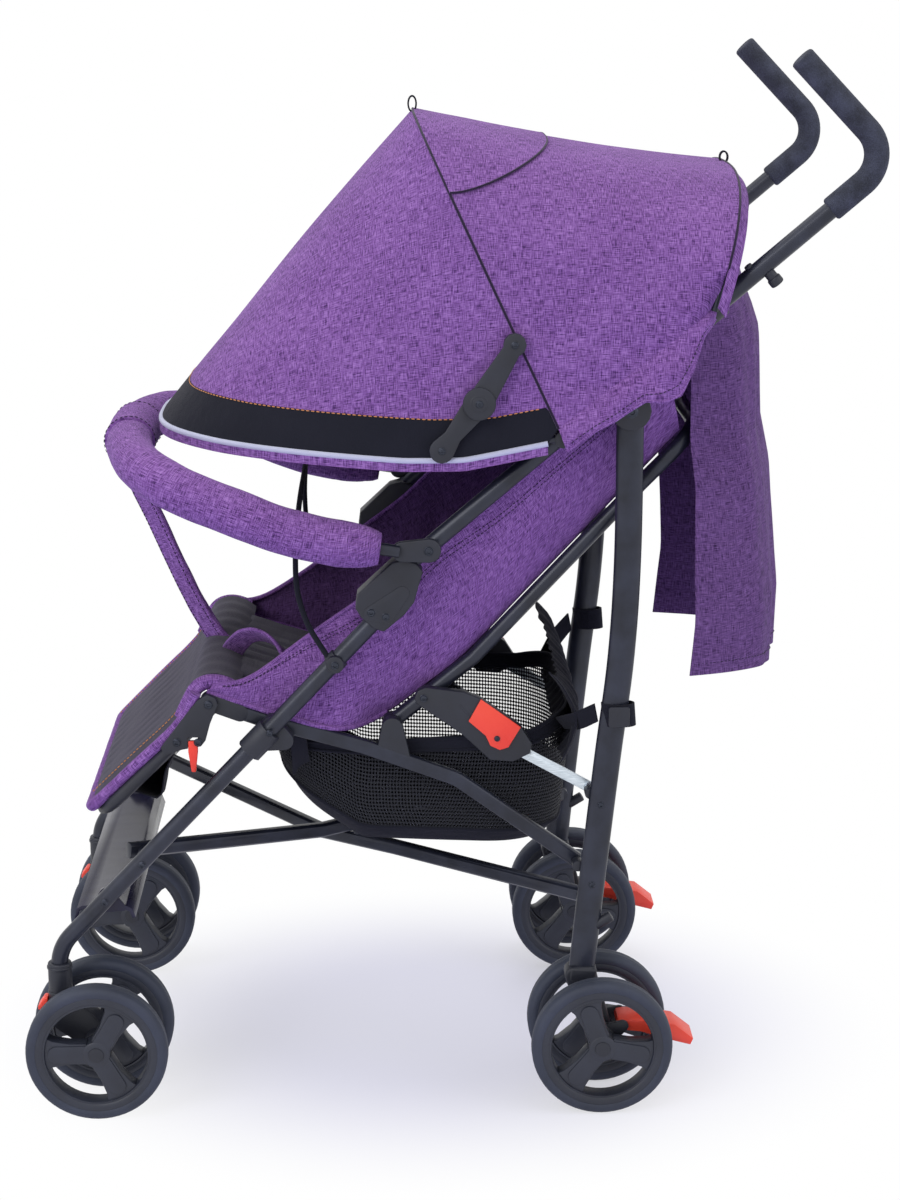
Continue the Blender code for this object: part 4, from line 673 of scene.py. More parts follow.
def plateForm(name, outline, low, high, bevel, segments=2):
    low, high = sorted((low, high))
    count = len(outline)
    faces = [tuple(range(count)), tuple(range(count, 2 * count))[::-1]]
    faces += [(i, (i + 1) % count, count + (i + 1) % count, count + i) for i in range(count)]
    piece = newMesh(name, sidePath(outline, low) + sidePath(outline, high), faces)
    faceOut(piece)
    soften(piece, bevel, segments, 42)
    return piece


def sidePlate(name, outline, low, high, bevel=0.0008, body="chassis", segments=2, finish="plastic"):
    return dress(plateForm(name, outline, low, high, bevel, segments), finish, body)


def disc(name, y, z, radius, low, high, bevel=0.0006, body="chassis", finish="plastic"):
    return sidePlate(name, roundOutline(y, z, radius), low, high, bevel, body, finish=finish)


def sideTube(name, points, x, radius, cap=0.0, body="chassis", finish="plastic", replaces=(), sides=24):
    return dress(sweepTube(name, sidePath(points, x), ring(radius, sides), cap=cap), finish, body, replaces)


# wheels: tyre, ring, three broad panelled spokes, hub and cap, made once and copied

wheel = {"radius": 0.075, "spacing": 0.0767, "axles": (("front", -0.2675, 60), ("rear", 0.2675, 110)), "spokes": 3,
         "web": [(0.0095, 0.0118), (0.028, 0.0118), (0.046, 0.0150), (0.0560, 0.0205)], "panel": 0.0415}
# profiles (across, radius)
tyreEdge = [(-0.0102, 0.0635), (-0.0116, 0.0652), (-0.0120, 0.0690), (-0.0110, 0.0722), (-0.0084, 0.0743),
            (-0.0045, 0.0750), (-0.0040, 0.0743), (-0.0034, 0.0750)]
ringEdge = [(-0.0108, 0.0645), (-0.0114, 0.0630), (-0.0112, 0.0585), (-0.0098, 0.0568), (-0.0102, 0.0548), (-0.0086, 0.0540)]
hubEdge = [(-0.0112, 0.0043), (-0.0112, 0.0125), (-0.0098, 0.0145)]


def wheelPart(name, edge, steps):
    return turned(name, edge + [(-a, r) for a, r in edge[::-1]] + edge[:1], Vector(), steps)


def makeWheel(turn, tag):
    tyre = wheelPart("tyre_" + tag, tyreEdge, 64)
    rim = wheelPart("ring_" + tag, ringEdge, 64)
    hub = wheelPart("hub_" + tag, hubEdge, 32)
    cap = plateForm("cap_" + tag, roundOutline(-shift, 0.0, 0.0084), 0.0098, 0.0125, 0.0012)
    spokes = []
    for angle in circle(wheel["spokes"]):
        angle += radians(turn)
        out = Vector((cos(angle), sin(angle)))
        side = Vector((-out.y, out.x))
        outline = [out * reach - side * half for reach, half in wheel["web"]]
        outline += [out * reach + side * half for reach, half in wheel["web"][::-1]]
        tip = out * wheel["panel"]
        spokes.append(plateForm("spoke_web", [(y - shift, z) for y, z in outline], -0.0084, 0.0084, 0.0016))
        spokes.append(plateForm("spoke_panel", roundHull((-shift, 0.0, 0.0100), (tip.x - shift, tip.y, 0.0096)),
                                -0.0102, 0.0102, 0.0010))
    pick(rim)
    for piece in spokes + [hub]:
        piece.select_set(True)
    bpy.ops.object.join()
    return tyre, rim, cap


for place, y, turn in wheel["axles"]:
    tyre, rim, cap = makeWheel(turn, place)
    for side, sign in sides:
        for edge, way in (("outer", 1), ("inner", -1)):
            body = "%s_%s_%s" % (place, side, edge)
            node = "wheel_" + body
            offset = spot(sign * (sideX + way * wheel["spacing"] / 2), y, wheel["radius"])
            for form, tag, finish, replaces in ((tyre, "_tyre", "tyre", [node]), (rim, "_rim", "rim", ()),
                                                (cap, "_cap", "plastic", ())):
                copy = placed(node + tag, form.data.copy())
                if form is cap and sign * way < 0:
                    copy.data.transform(Matrix.Scale(-1, 4, (1, 0, 0)))
                    faceOut(copy)
                putAt(copy, offset)
                dress(copy, finish, body, replaces)
    for start in (tyre, rim, cap):
        bpy.data.objects.remove(start)
print("wheels")


# side frames

hinge = (0.289, 0.753)
stemY = -0.3085
frontLeg = [(stemY, 0.131), (stemY, 0.1767), (0.045, 0.5505)]
handle = {"low": Vector((0.055, 0.5866)), "end": (0.5140, 0.9772), "gripStart": (0.4835, 0.9512), "bend": (0.5434, 1.0022),
          "gripTip": (0.449, 1.0995)}
rearLeg = [hinge, (0.289, 0.600), (0.284, 0.492), (0.272, 0.385), (0.257, 0.241), (0.2465, 0.131)]
rearAxle = (0.2675, 0.075)
handleRun = (Vector(handle["bend"]) - handle["low"]).normalized()
handleSquare = Vector((-handleRun.y, handleRun.x))
elbow = (0.135, 0.766)
# moulded parts that are shown as bevelled copies of the solids: finish, bevel, segments
fineParts = {"knee_bracket": ("plastic", 0.0022, 3), "tee_bracket": ("plastic", 0.0012), "top_hinge": ("plastic", 0.0014),
             "castor_fork": ("plastic", 0.0020, 3), "swivel_lock": ("red", 0.0010), "brake_pedal": ("red", 0.0012),
             "recline_housing": ("plastic", 0.0014), "recline_strip": ("steel", 0.0004, 1), "recline_lever": ("red", 0.0007),
             "legrest_trigger": ("red", 0.0009), "elbow_lower": ("plastic", 0.0008), "elbow_upper": ("plastic", 0.0008)}


def onHandle(distance, out=0.0):
    return tuple(handle["low"] + handleRun * distance + handleSquare * out)


for side, sign in sides:
    x = sign * sideX
    face, flat = sign * (sideX + 0.009), sign * (sideX + 0.0078)
    legPath = roundCorners(sidePath(frontLeg, x), 0.05, 12)
    dress(sweepTube("front_leg_%s_tube" % side, legPath, ring(0.009, 28)), "frame", replaces=["front_leg_" + side])
    sideTube("front_leg_%s_socket" % side, [(stemY, 0.1192), (stemY, 0.161)], x, 0.0125, 0.0015, sides=32)
    for n, z in enumerate((0.126, 0.154)):
        sideTube("front_leg_%s_socket_band_%d" % (side, n), [(stemY, z), (stemY, z + 0.0035)], x, 0.0135, 0.001, sides=32)
    sideTube("handle_%s_tube" % side, [handle["low"], handle["end"]], x, 0.009, finish="frame",
             replaces=["handle_tube_" + side])
    gripPath = roundCorners(sidePath([handle["gripStart"], handle["bend"], handle["gripTip"]], x), 0.040, 16)
    grip = sweepTube("grip_%s_foam" % side, gripPath, ring(0.0125, 32), cap=0.003)
    dress(grip, "foam", replaces=["grip_" + side])
    # push knob and button on the handle tube, above the rear bow's collar
    for tag, along, low, high, radius, cap in (("knob", 0.478, -0.006, -0.020, 0.0058, 0.0015),
                                               ("knob_cap", 0.478, -0.0145, -0.0235, 0.0072, 0.0018),
                                               ("button", 0.466, 0.006, 0.0115, 0.0042, 0.0012)):
        sideTube("handle_%s_%s" % (side, tag), [onHandle(along, low), onHandle(along, high)], x, radius, cap)
    for node, facts in fineParts.items():
        fineCopy("%s_%s" % (node, side), *facts)

    # rear leg: a flattened tube, with its wheel housing and the bosses that the seat and bars bolt to
    leg = "rear_leg_%s_" % side
    legRun = evenPath(smoothPath(sidePath(rearLeg, x), 8), 40)
    dress(sweepTube(leg + "tube", legRun, ring(0.008, 32, 0.014)), "frame", "rear_frame", ["rear_leg_" + side])
    disc(leg + "head", *hinge, 0.0138, x - 0.008, x + 0.008, 0.001, "rear_frame", "frame")
    sidePlate(leg + "neck", roundHull((0.2395, 0.142, 0.010), (0.2535, 0.142, 0.010), (*rearAxle, 0.0145)),
              x - 0.0115, x + 0.0115, 0.0028, "rear_frame", 3)
    disc(leg + "boss", *rearAxle, 0.0158, x - 0.026, x + 0.026, 0.0015, "rear_frame")
    sidePlate(leg + "cuff", [(0.2335, 0.136), (0.2620, 0.134), (0.2640, 0.150), (0.2350, 0.152)],
              x - 0.0125, x + 0.0125, 0.003, "rear_frame", 3)
    for tag, low, high in (("in", -0.0213, -0.0173), ("out", 0.0173, 0.0213)):
        sidePlate(leg + "ear_" + tag, roundHull((*rearAxle, 0.0142), (0.291, 0.088, 0.0065)), x + low, x + high,
                  body="rear_frame")
    for tag, y, z in (("strip", 0.255, 0.343), ("rail", 0.243, 0.262), ("bar", 0.251, 0.2195)):
        disc("%s%s_boss" % (leg, tag), y, z, 0.006, sign * 0.1753, sign * 0.190, body="rear_frame")
    sideTube(leg + "knob", [(0.262, 0.196), (0.279, 0.2065)], x, 0.0058, 0.0015, "rear_frame")

    # bolt heads: tag, y, z, outer face, radius, body
    upper, lower = "brace_upper_" + side, "brace_lower_" + side
    bolts = [("hinge", *hinge, sign * (sideX + 0.0143), 0.0062, "chassis"),
             ("kneeLow", 0.026, 0.546, sign * 0.2045, 0.0042, "chassis"),
             ("kneeHigh", 0.041, 0.5415, sign * 0.2045, 0.0038, "chassis"),
             ("legLow", -0.257, 0.231, face, 0.0036, "chassis"), ("legBar", -0.2165, 0.2725, face, 0.0036, "chassis"),
             ("strip", 0.265, 0.3340, flat, 0.0034, "rear_frame"), ("bar", 0.257, 0.2450, flat, 0.0034, "rear_frame"),
             ("tee", -0.0800, 0.4180, sign * (sideX + 0.0135), 0.0034, "chassis"),
             ("elbowHigh", 0.170, 0.824, sign * 0.2308, 0.0036, upper), ("elbow", *elbow, sign * 0.2338, 0.0040, upper),
             ("elbowLow", 0.098, 0.7175, sign * 0.2265, 0.0036, lower),
             ("calfTop", -0.1440, 0.4420, sign * 0.1818, 0.0046, "legrest"),
             ("calfLow", -0.1780, 0.4010, sign * 0.1818, 0.0042, "legrest"),
             ("calfRear", -0.1560, 0.4010, sign * 0.1818, 0.0042, "legrest"),
             ("lever", 0.157, 0.4000, sign * 0.1746, 0.0030, "recline_catch_" + side),
             ("housing", 0.080, 0.4440, sign * 0.1718, 0.0040, "recline_housings")]
    for tag, y, z, faceX, radius, body in bolts:
        boltHead("bolt_%s_%s" % (tag, side), faceX, y, z, body, radius, sign)
    # raised rim on the knee bracket, ribs on the recline housing
    sidePlate("knee_bracket_%s_rim" % side, roundHull((0.026, 0.545, 0.0075), (0.042, 0.541, 0.0070), (0.058, 0.566, 0.0075)),
              sign * 0.2040, sign * 0.2052, 0.0005)
    for n, (y, z) in enumerate(((0.118, 0.436), (0.130, 0.4275), (0.142, 0.419))):
        sidePlate("recline_housing_%s_rib_%d" % (side, n), roundHull((y, z, 0.0012), (y + 0.018, z - 0.022, 0.0012)),
                  sign * 0.1712, sign * 0.1722, 0.0003, "recline_housings")
print("side frames")

# the large round elbow of each hood brace
for side, sign in sides:
    disc("brace_elbow_" + side, *elbow, 0.0165, sign * 0.2298, sign * 0.2336, 0.0012, "brace_upper_" + side)
    disc("brace_elbow_ring_" + side, *elbow, 0.0075, sign * 0.2330, sign * 0.2346, 0.0006, "brace_upper_" + side)


# seat frame, bars and footrest

seatPivot = (0.047, 0.412)
railPoints = [(-0.150, 0.4445), (-0.087, 0.4215), (0.018, 0.391), (0.114, 0.355), (0.243, 0.262)]
backTube = [seatPivot, (0.132, 0.482), (0.305, 0.668), (0.363, 0.727)]
railX, backX = 0.169, 0.151
hoopClip = (-0.0116, 0.4907)
hoopSide = [(0.1985, *hoopClip), (0.1965, -0.0165, 0.4935), (0.186, -0.026, 0.505), (0.176, -0.040, 0.527),
            (0.168, -0.050, 0.558), (0.160, -0.052, 0.592), (0.135, -0.050, 0.628), (0.090, -0.048, 0.646),
            (0.0, -0.046, 0.655)]
for side, sign in sides:
    railPath = roundCorners(sidePath(railPoints, sign * railX), 0.05, 8)
    rail = sweepTube("seat_rail_%s_bar" % side, railPath, softBox(0.012, 0.016, 0.004), cap=0.0008)
    dress(rail, "frame", replaces=["seat_rail_" + side])
    sidePlate("seat_rail_%s_ear" % side, roundHull((*seatPivot, 0.011), (0.036, 0.384, 0.006), (0.060, 0.378, 0.006)),
              sign * 0.1593, sign * 0.174, 0.0012)
    # moulded end of the rail, with the step that the calf rest turns on
    sidePlate("seat_rail_%s_end" % side, roundHull((-0.1440, 0.4425, 0.0095), (-0.112, 0.4300, 0.0092)),
              sign * 0.1620, sign * 0.1752, 0.0015)
backPath = roundCorners(sidePath(backTube, backX) + sidePath(backTube[::-1], -backX), 0.045, 12)
cord("backrest_frame_tube", backPath, 0, 0.008, "frame", "backrest", ["backrest_frame"], 24)
for sign in (1, -1):
    disc("backrest_frame_eye_%d" % (sign + 1), *seatPivot, 0.010, sign * 0.143, sign * 0.159, body="backrest")
for node, finish, bevel in (("legrest_frame", "plastic", 0.0011), ("cross_bar_upper", "frame", 0.0012),
                            ("cross_bar_lower", "frame", 0.0012), ("footrest", "gloss", 0.0008)):
    fineCopy(node, finish, bevel)
cord("guard_hoop_cable", softPath(bothWays(hoopSide), 8, 150), 0, 0.0029, "band", replaces=["guard_hoop"], sides=14,
     slot="frame")
for side, sign in sides:
    disc("guard_hoop_clip_" + side, *hoopClip, 0.0092, sign * 0.1965, sign * 0.2065, 0.0015)
    sideTube("guard_hoop_ring_" + side, [(-0.0150, 0.4870), (-0.0070, 0.4955)], sign * sideX, 0.0112, 0.001)
    boltHead("guard_hoop_bolt_" + side, sign * 0.2065, *hoopClip, "chassis", 0.0042, sign)
print("seat frame")


# bumper bar, its padded sleeve, and the strap between the legs

bumper = {"x": 0.2116, "pivot": (0.085, 0.6121), "sleeve": 0.0240, "sleeveSteps": 150, "pleats": 22, "wrap": 0.052}
bumperSide = [(bumper["x"], 0.055, 0.6115), (bumper["x"], -0.0415, 0.628), (bumper["x"], -0.122, 0.6575),
              (sideX, -0.188, 0.6835), (0.110, -0.222, 0.693), (0.0, -0.232, 0.6945)]
barPath = smoothPath([spot(*p) for p in bothWays(bumperSide)], 10)
dress(sweepTube("bumper_bar_tube", barPath, ring(0.0065, 20), upright=True), "frame", "bumper", ["bumper_bar"])
for sign in (1, -1):
    sidePlate("bumper_fitting_%d" % (sign + 1), roundHull((*bumper["pivot"], 0.0125), (0.058, 0.6111, 0.0105)),
              sign * 0.2048, sign * 0.2128, 0.0018, "bumper", 3)
    disc("bumper_boss_%d" % (sign + 1), *bumper["pivot"], 0.0088, sign * 0.2013, sign * 0.206, body="bumper")
    boltHead("bumper_bolt_%d" % (sign + 1), sign * 0.2128, *bumper["pivot"], "bumper", 0.0046, sign)
sleevePath = evenPath([p for p in barPath if p.y < 0.045 + shift], bumper["sleeveSteps"])


def sleeveSize(i):
    end = min(i, bumper["sleeveSteps"] - 1 - i) / 9
    return bumper["sleeve"] * (0.66 + 0.34 * sin(min(1.0, end) * pi / 2) ** 0.7)


def gather(v, angle):
    near = max(0.0, 1.0 - min(v, 1 - v) / 0.085)
    soft = ruffle(v * 26, cos(angle) * 1.3, sin(angle) * 1.3) * 0.045
    return 0.050 * near * cos(bumper["pleats"] * angle + 2.0 * sin(v * 70)) + soft


def wrapRipple(v, angle):
    return 0.012 * cos(9 * v + 3 * angle) * (1 - abs(2 * v - 1)) + 0.03 * ruffle(v * 9, angle, 4)


def strapTwist(v, angle):
    return 0.05 * ruffle(v * 11, cos(angle), sin(angle)) - 0.10 * sin(pi * v)


sleeve = sweepTube("bumper_sleeve_cover", sleevePath, ring(1.0, 72), upright=True,
                   scales=[sleeveSize(i) for i in range(bumper["sleeveSteps"])], ripple=gather)
dress(sleeve, "purple", "bumper", ["bumper_sleeve"], angle=70)
wrapPath = evenPath([p for p in barPath if abs(p.x) < bumper["wrap"] and p.y < 0], 24)
wrap = sweepTube("bumper_wrap", wrapPath, ring(0.0268, 64), upright=True, ripple=wrapRipple, cap=0.001)
dress(wrap, "purple", "bumper", angle=70)
aloft = Vector((0, 0, 1))
wrapSide = (wrapPath[1] - wrapPath[0]).cross(aloft).normalized()
for n, end in enumerate((0, -1)):
    edge = [wrapPath[end] + (aloft * sin(a) + wrapSide * cos(a)) * 0.0274 for a in circle(40, True)]
    stitchLine("bumper_wrap_stitch_%d" % n, edge, body="bumper")

# the strap runs from the seat up to the bar
strapPath = softPath([(0.0, -0.2335, 0.680), (0.0, -0.229, 0.645), (0.0, -0.208, 0.595),
                      (0.0, -0.176, 0.520), (0.0, -0.1515, 0.4735), (0.0, -0.140, 0.4580)], 10, 48)
strapSide = Vector((0.74, 0.62, 0.26))
strapFold = {"toBody": "bumper", "line": [spot(0.0, -0.148, 0.468), spot(0.0, -0.2335, 0.668)]}
strap = sweepTube("crotch_strap", strapPath, softBox(0.034, 0.0075, 0.003, 5), side=strapSide, ripple=strapTwist)
dress(strap, "purple", angle=60, **strapFold)
for sign in (1, -1):
    edge = [p + strapSide * (sign * 0.0120) + Vector((0.0028, -0.0028, -0.0008)) for p in strapPath]
    stitchLine("crotch_strap_stitch_%d" % (sign + 1), edge, **strapFold)
print("bumper")


# hood

hood = {"pivot": (0.220, 0.727), "half": 0.222, "square": 2.8, "mainReach": 0.344, "mainLean": 115.2, "frontReach": 0.418,
        "frontLean": 181.0, "rearReach": 0.135, "rearLean": 75.0, "rearBase": (0.369, 0.8538), "dip": 0.018, "lip": 0.011,
        "band": 0.052, "bulge": 0.003, "sag": 0.006, "columns": 128, "vent": 0.42, "ventHalf": radians(46)}
# how far the skirt hangs below the line from the pivot to the rear bow, from front to back
skirtDrop = [0.010, 0.011, 0.013, 0.017, 0.019, 0.022, 0.036, 0.042, 0.030, 0.012, 0.008]
hoodTop = pi / 2


def archPoint(phi, half, reach, base, lean):
    c, s = cos(phi), sin(phi)
    x = math.copysign(half * abs(c) ** (2 / hood["square"]), c)
    r = reach * max(0.0, s) ** (2 / hood["square"])
    a = radians(lean)
    return Vector((x, base[0] + r * cos(a), base[1] + r * sin(a)))


def pipingPoint(phi):
    edge = archPoint(phi, hood["half"], hood["frontReach"], hood["pivot"], hood["frontLean"])
    side = min(1.0, abs(cos(phi)) * 1.6)
    ahead = hood["pivot"][0] - edge.y
    edge.z -= hood["dip"] * side * min(1.0, ahead / 0.10) * (1.0 - clamp((ahead - 0.16) / 0.25))
    return edge


def mainPoint(phi):
    return archPoint(phi, hood["half"], hood["mainReach"], hood["pivot"], hood["mainLean"])


def rearBowPoint(phi):
    return archPoint(phi, hood["half"], hood["rearReach"], hood["rearBase"], hood["rearLean"])


def frontPoint(phi, t, proud=0.0):
    p = pipingPoint(phi).lerp(mainPoint(phi), t)
    spread = Vector((0.0, p.y - hood["pivot"][0], p.z - hood["pivot"][1]))
    reach = min(1.0, spread.length / 0.3)
    loose = 4 * t * (1 - t)
    if spread.length > 1e-6:
        p += spread.normalized() * hood["bulge"] * 4 * t * (1 - t) * reach
    soft = ruffle(p.x * 7, p.y * 9 + 3, p.z * 7) * 0.0022 * loose
    away = Vector((p.x / hood["half"], spread.y * 2.2, spread.z * 2.2)).normalized()
    return spot(*(p + away * (soft + proud)))


def rearPoint(phi, t, proud=0.0):
    p = mainPoint(phi).lerp(rearBowPoint(phi), t)
    loose = 4 * t * (1 - t)
    p.z -= hood["sag"] * loose * sin(phi) ** 2
    side = min(1.0, abs(cos(phi)) ** 0.6 * 1.2)
    lower = clamp((0.93 - p.z) / 0.13)
    # long slanting creases, short ones, and gathers by the rear bow
    creases = ruffle(p.y * 7, p.z * 46 + p.y * 10, 2.0 + math.copysign(1, p.x)) * 0.0042
    creases += ruffle(p.y * 17, p.z * 17, 7.0) * 0.0036
    waves = sin(150 * p.z - 55 * p.y + 3 * ruffle(p.y * 12, p.z * 12, 1))
    gathers = 0.0022 * waves * max(0.0, 1 - abs(t - 1) / 0.35) * lower * min(1.0, (1.02 - t) * 12)
    away = Vector((p.x / hood["half"] * 1.3, (p.y - 0.27) * 0.6, (p.z - 0.78) * 2.6)).normalized()
    # the corner by the collar is drawn in behind the handle tube
    tuck = t ** 8 * max(0.0, 1 - sin(phi) ** 0.714 * hood["rearReach"] / 0.045)
    p.x *= 1 - 0.11 * tuck
    return spot(*(p + away * (side * creases * loose * (0.30 + 0.70 * lower) + gathers + proud)))


def hoodWeave(p):
    # threads run level and upright on the hood's sides
    return abs(p.x) - p.z, p.y


def bandShare(phi):
    return min(0.97, hood["band"] / max(1e-6, (mainPoint(phi) - pipingPoint(phi)).length))


def ventEdge(u):
    return hood["vent"] * (1 - min(1.0, abs(u)) ** 2.4) ** 0.66


def skirtPoint(t, down, sign):
    edge = rearPoint(first if sign > 0 else pi - first, t)
    low = Vector(hood["pivot"]).lerp(Vector(hood["rearBase"]), t)
    drop = between(skirtDrop, t * 10)
    hem = spot(sign * (0.2265 + 0.004 * sin(pi * t) - 0.026 * t ** 8), low.x + 0.25 * drop, low.y - drop)
    fold = ruffle(t * 9, down * 1.5, sign) * 0.004 + 0.002 * sin(20 * t + 2 * down)
    return edge.lerp(hem, down) + Vector((sign * 4 * down * (1 - down) * (0.004 + fold), 0, 0))


first = radians(0.6)
angles = [first + (pi - 2 * first) * (1 - cos(pi * i / hood["columns"])) / 2 for i in range(hood["columns"] + 1)]
# each fold line crosses the pivot square to the middle of its panel
pivotY, pivotZ = hood["pivot"]
visorLine = [spot(0, pivotY + 0.0689, pivotZ + 0.1102), spot(0, pivotY - 0.0689, pivotZ - 0.1102)]
canopyLine = [spot(0, pivotY + 0.1287, pivotZ - 0.0181), spot(0, pivotY - 0.1287, pivotZ + 0.0181)]
frontFold = {"toBody": "visor", "line": visorLine}
rearFold = {"toBody": "canopy", "line": canopyLine}
level = {"weave": hoodWeave}
mainRod, frontRod, rearRod = ["canopy_%s_bow_rod" % name for name in ("main", "front", "rear")]
cloth("hood_band", [[frontPoint(a, bandShare(a) * i / 6) for a in angles] for i in range(7)], "band", "stretched",
      [frontRod], 0.0016, "canopy", **level, **frontFold)
cloth("hood_front_panel", [[frontPoint(a, bandShare(a) + (1 - bandShare(a)) * i / 24) for a in angles] for i in range(25)],
      "purple", "stretched", [frontRod, mainRod], 0.0016, "canopy", replaces=["hood"], **level, **frontFold)
cloth("hood_rear_panel", [[rearPoint(a, i / 40) for a in angles] for i in range(41)], "purple", "stretched",
      [mainRod, rearRod], 0.0016, **level, **rearFold)
lipRows = [[spot(*p) + Vector((0.0015 * math.copysign(1, p.x) * t, 0, -hood["lip"] * t)) for p in map(pipingPoint, angles)]
           for t in (0.0, 0.33, 0.66, 1.0)]
cloth("hood_lip", lipRows, "purple", "stretched", [frontRod], 0.0042, "visor")
cord("hood_piping", [spot(p.x * 1.004, p.y, p.z) for p in map(pipingPoint, angles)], 160, 0.0030, "piping", "visor", sides=12)
stitchPath = [frontPoint(a, bandShare(a) * 0.985, 0.0012) for a in angles if bandShare(a) < 0.9]
stitchLine("hood_band_stitch", stitchPath, (0.0046, 0.0008, 0.0006), "thread", "canopy", **frontFold)
cord("hood_main_seam", [frontPoint(a, 1.0, 0.0008) for a in angles], 150, 0.0014, "seam", "canopy")
cord("hood_rear_seam", [rearPoint(a, 1.0, 0.0006) for a in angles], 120, 0.0013, "seam")
rearLip = [[spot(p.x, p.y + 0.008 * t, p.z - 0.010 * t) for p in map(rearBowPoint, angles)] for t in (0.0, 0.5, 1.0)]
cloth("hood_rear_lip", rearLip, "purple", "stretched", [rearRod], 0.0016)

# vent flap over the top behind the main bow
ventUs = [sin(pi / 2 * (j - 30) / 30.3) for j in range(61)]
ventRows = [[rearPoint(hoodTop + hood["ventHalf"] * u, ventEdge(u) * i / 12, 0.0030 * min(1.0, 0.4 + i / 8)) for u in ventUs]
            for i in range(13)]
cloth("hood_vent_flap", ventRows, "purple", "laid", ["hood_rear_panel"], 0.0014, **level, **rearFold)
cord("hood_vent_edge", ventRows[-1], 110, 0.0011, "seam", **rearFold)

# the part of the rear panel that hangs outside the handle tube
for side, sign in sides:
    skirt = [[skirtPoint(i / 60, j / 12, sign) for i in range(61)] for j in range(13)]
    cloth("hood_skirt_" + side, skirt, "purple", "hung", ["hood_rear_panel"], 0.0016, **level, **rearFold)
    cord("hood_skirt_hem_" + side, skirt[-1], 60, 0.0020, "purple", sides=10, **rearFold)
hemStitch = (0.003, 0.0016, 0.0005)
hemPath = [skirtPoint(0.04 + 0.92 * i / 60, 0.80, 1) + Vector((0.0012, 0, 0)) for i in range(61)]
for side, sign in sides:
    stitchLine("hood_hem_stitch_" + side, [Vector((sign * p.x, p.y, p.z)) for p in hemPath], hemStitch, **rearFold)

for name, top, body, tall in (("main", mainPoint(hoodTop), "canopy", 0.016), ("rear", rearBowPoint(hoodTop), "chassis", 0.012)):
    base = spot(0, top.y, top.z - 0.001)
    loop = [base + Vector((0.0, 0.0042 * sin(t) - 0.001, tall / 2 * (1 - cos(t)))) for t in circle(28, True)]
    dress(sweepTube("hood_loop_" + name, loop, softBox(0.007, 0.0018, 0.0008, 2)), "band", body)

for name, half, reach, base, lean, body in (("main", 0.2053, 0.334, hood["pivot"], 115.2, "canopy"),
                                            ("front", 0.2140, 0.4045, hood["pivot"], 181.5, "visor"),
                                            ("rear", 0.2065, 0.125, hood["rearBase"], 75.0, "chassis")):
    arch = [spot(*archPoint(pi * i / 120, half, reach, base, lean)) for i in range(121)]
    cord("canopy_%s_bow_rod" % name, arch, 110, 0.004, "frame", body, ["canopy_%s_bow" % name], 14)
for side, sign in sides:
    sideTube("canopy_rear_bow_collar_" + side, [onHandle(0.4013), onHandle(0.4233)], sign * sideX, 0.0135, 0.001)
    disc("canopy_main_bow_eye_" + side, *hood["pivot"], 0.009, sign * 0.2013, sign * 0.2093, body="canopy")
    disc("canopy_front_bow_eye_" + side, *hood["pivot"], 0.009, sign * 0.2096, sign * 0.2183, body="visor")
print("hood")


# seat: the slung sheet with its side panels

slingStations = [
    # seat edge (y, z), half width, top of the side panel (y, z), half width
    ((-0.146, 0.4546), 0.1718, (-0.140, 0.4600), 0.1718), ((-0.118, 0.4444), 0.1718, (-0.100, 0.4680), 0.1700),
    ((-0.070, 0.4282), 0.1718, (-0.040, 0.5090), 0.159), ((-0.010, 0.4115), 0.1680, (0.018, 0.5520), 0.168),
    ((0.034, 0.4165), 0.1390, (0.062, 0.5840), 0.174), ((0.084, 0.4547), 0.1460, (0.105, 0.6240), 0.174),
    ((0.1255, 0.4889), 0.1460, (0.160, 0.6620), 0.174), ((0.183, 0.5509), 0.1460, (0.215, 0.7070), 0.174),
    ((0.243, 0.6154), 0.1460, (0.265, 0.7480), 0.174), ((0.298, 0.6748), 0.1460, (0.296, 0.7735), 0.174),
    ((0.3442, 0.7240), 0.1460, (0.326, 0.7980), 0.174)]
edgeRun = smoothPath([(half, *edge) for edge, half, top, topHalf in slingStations], 6)
topRun = smoothPath([(topHalf, *top) for edge, half, top, topHalf in slingStations], 6)
seatRows = range(len(edgeRun))


def panelPoint(i, t, sign, proud=0.0):
    low, high = edgeRun[i], topRun[i]
    x = low.x + (high.x - low.x) * t ** 0.8
    y, z = low.y + (high.y - low.y) * t, low.z + (high.z - low.z) * t
    v = i / (len(edgeRun) - 1)
    belly = 4 * t * (1 - t)
    fold = 0.0028 * ruffle(y * 26 + z * 9, z * 20 - y * 20, sign) * belly
    drawn = 0.0016 * sin(95 * (y + z)) * max(0.0, 1 - t * 2.2) * min(1.0, v * 4)
    return spot(sign * (x + 0.0045 * belly + fold + drawn * min(1.0, t * 8) + proud), y, z)


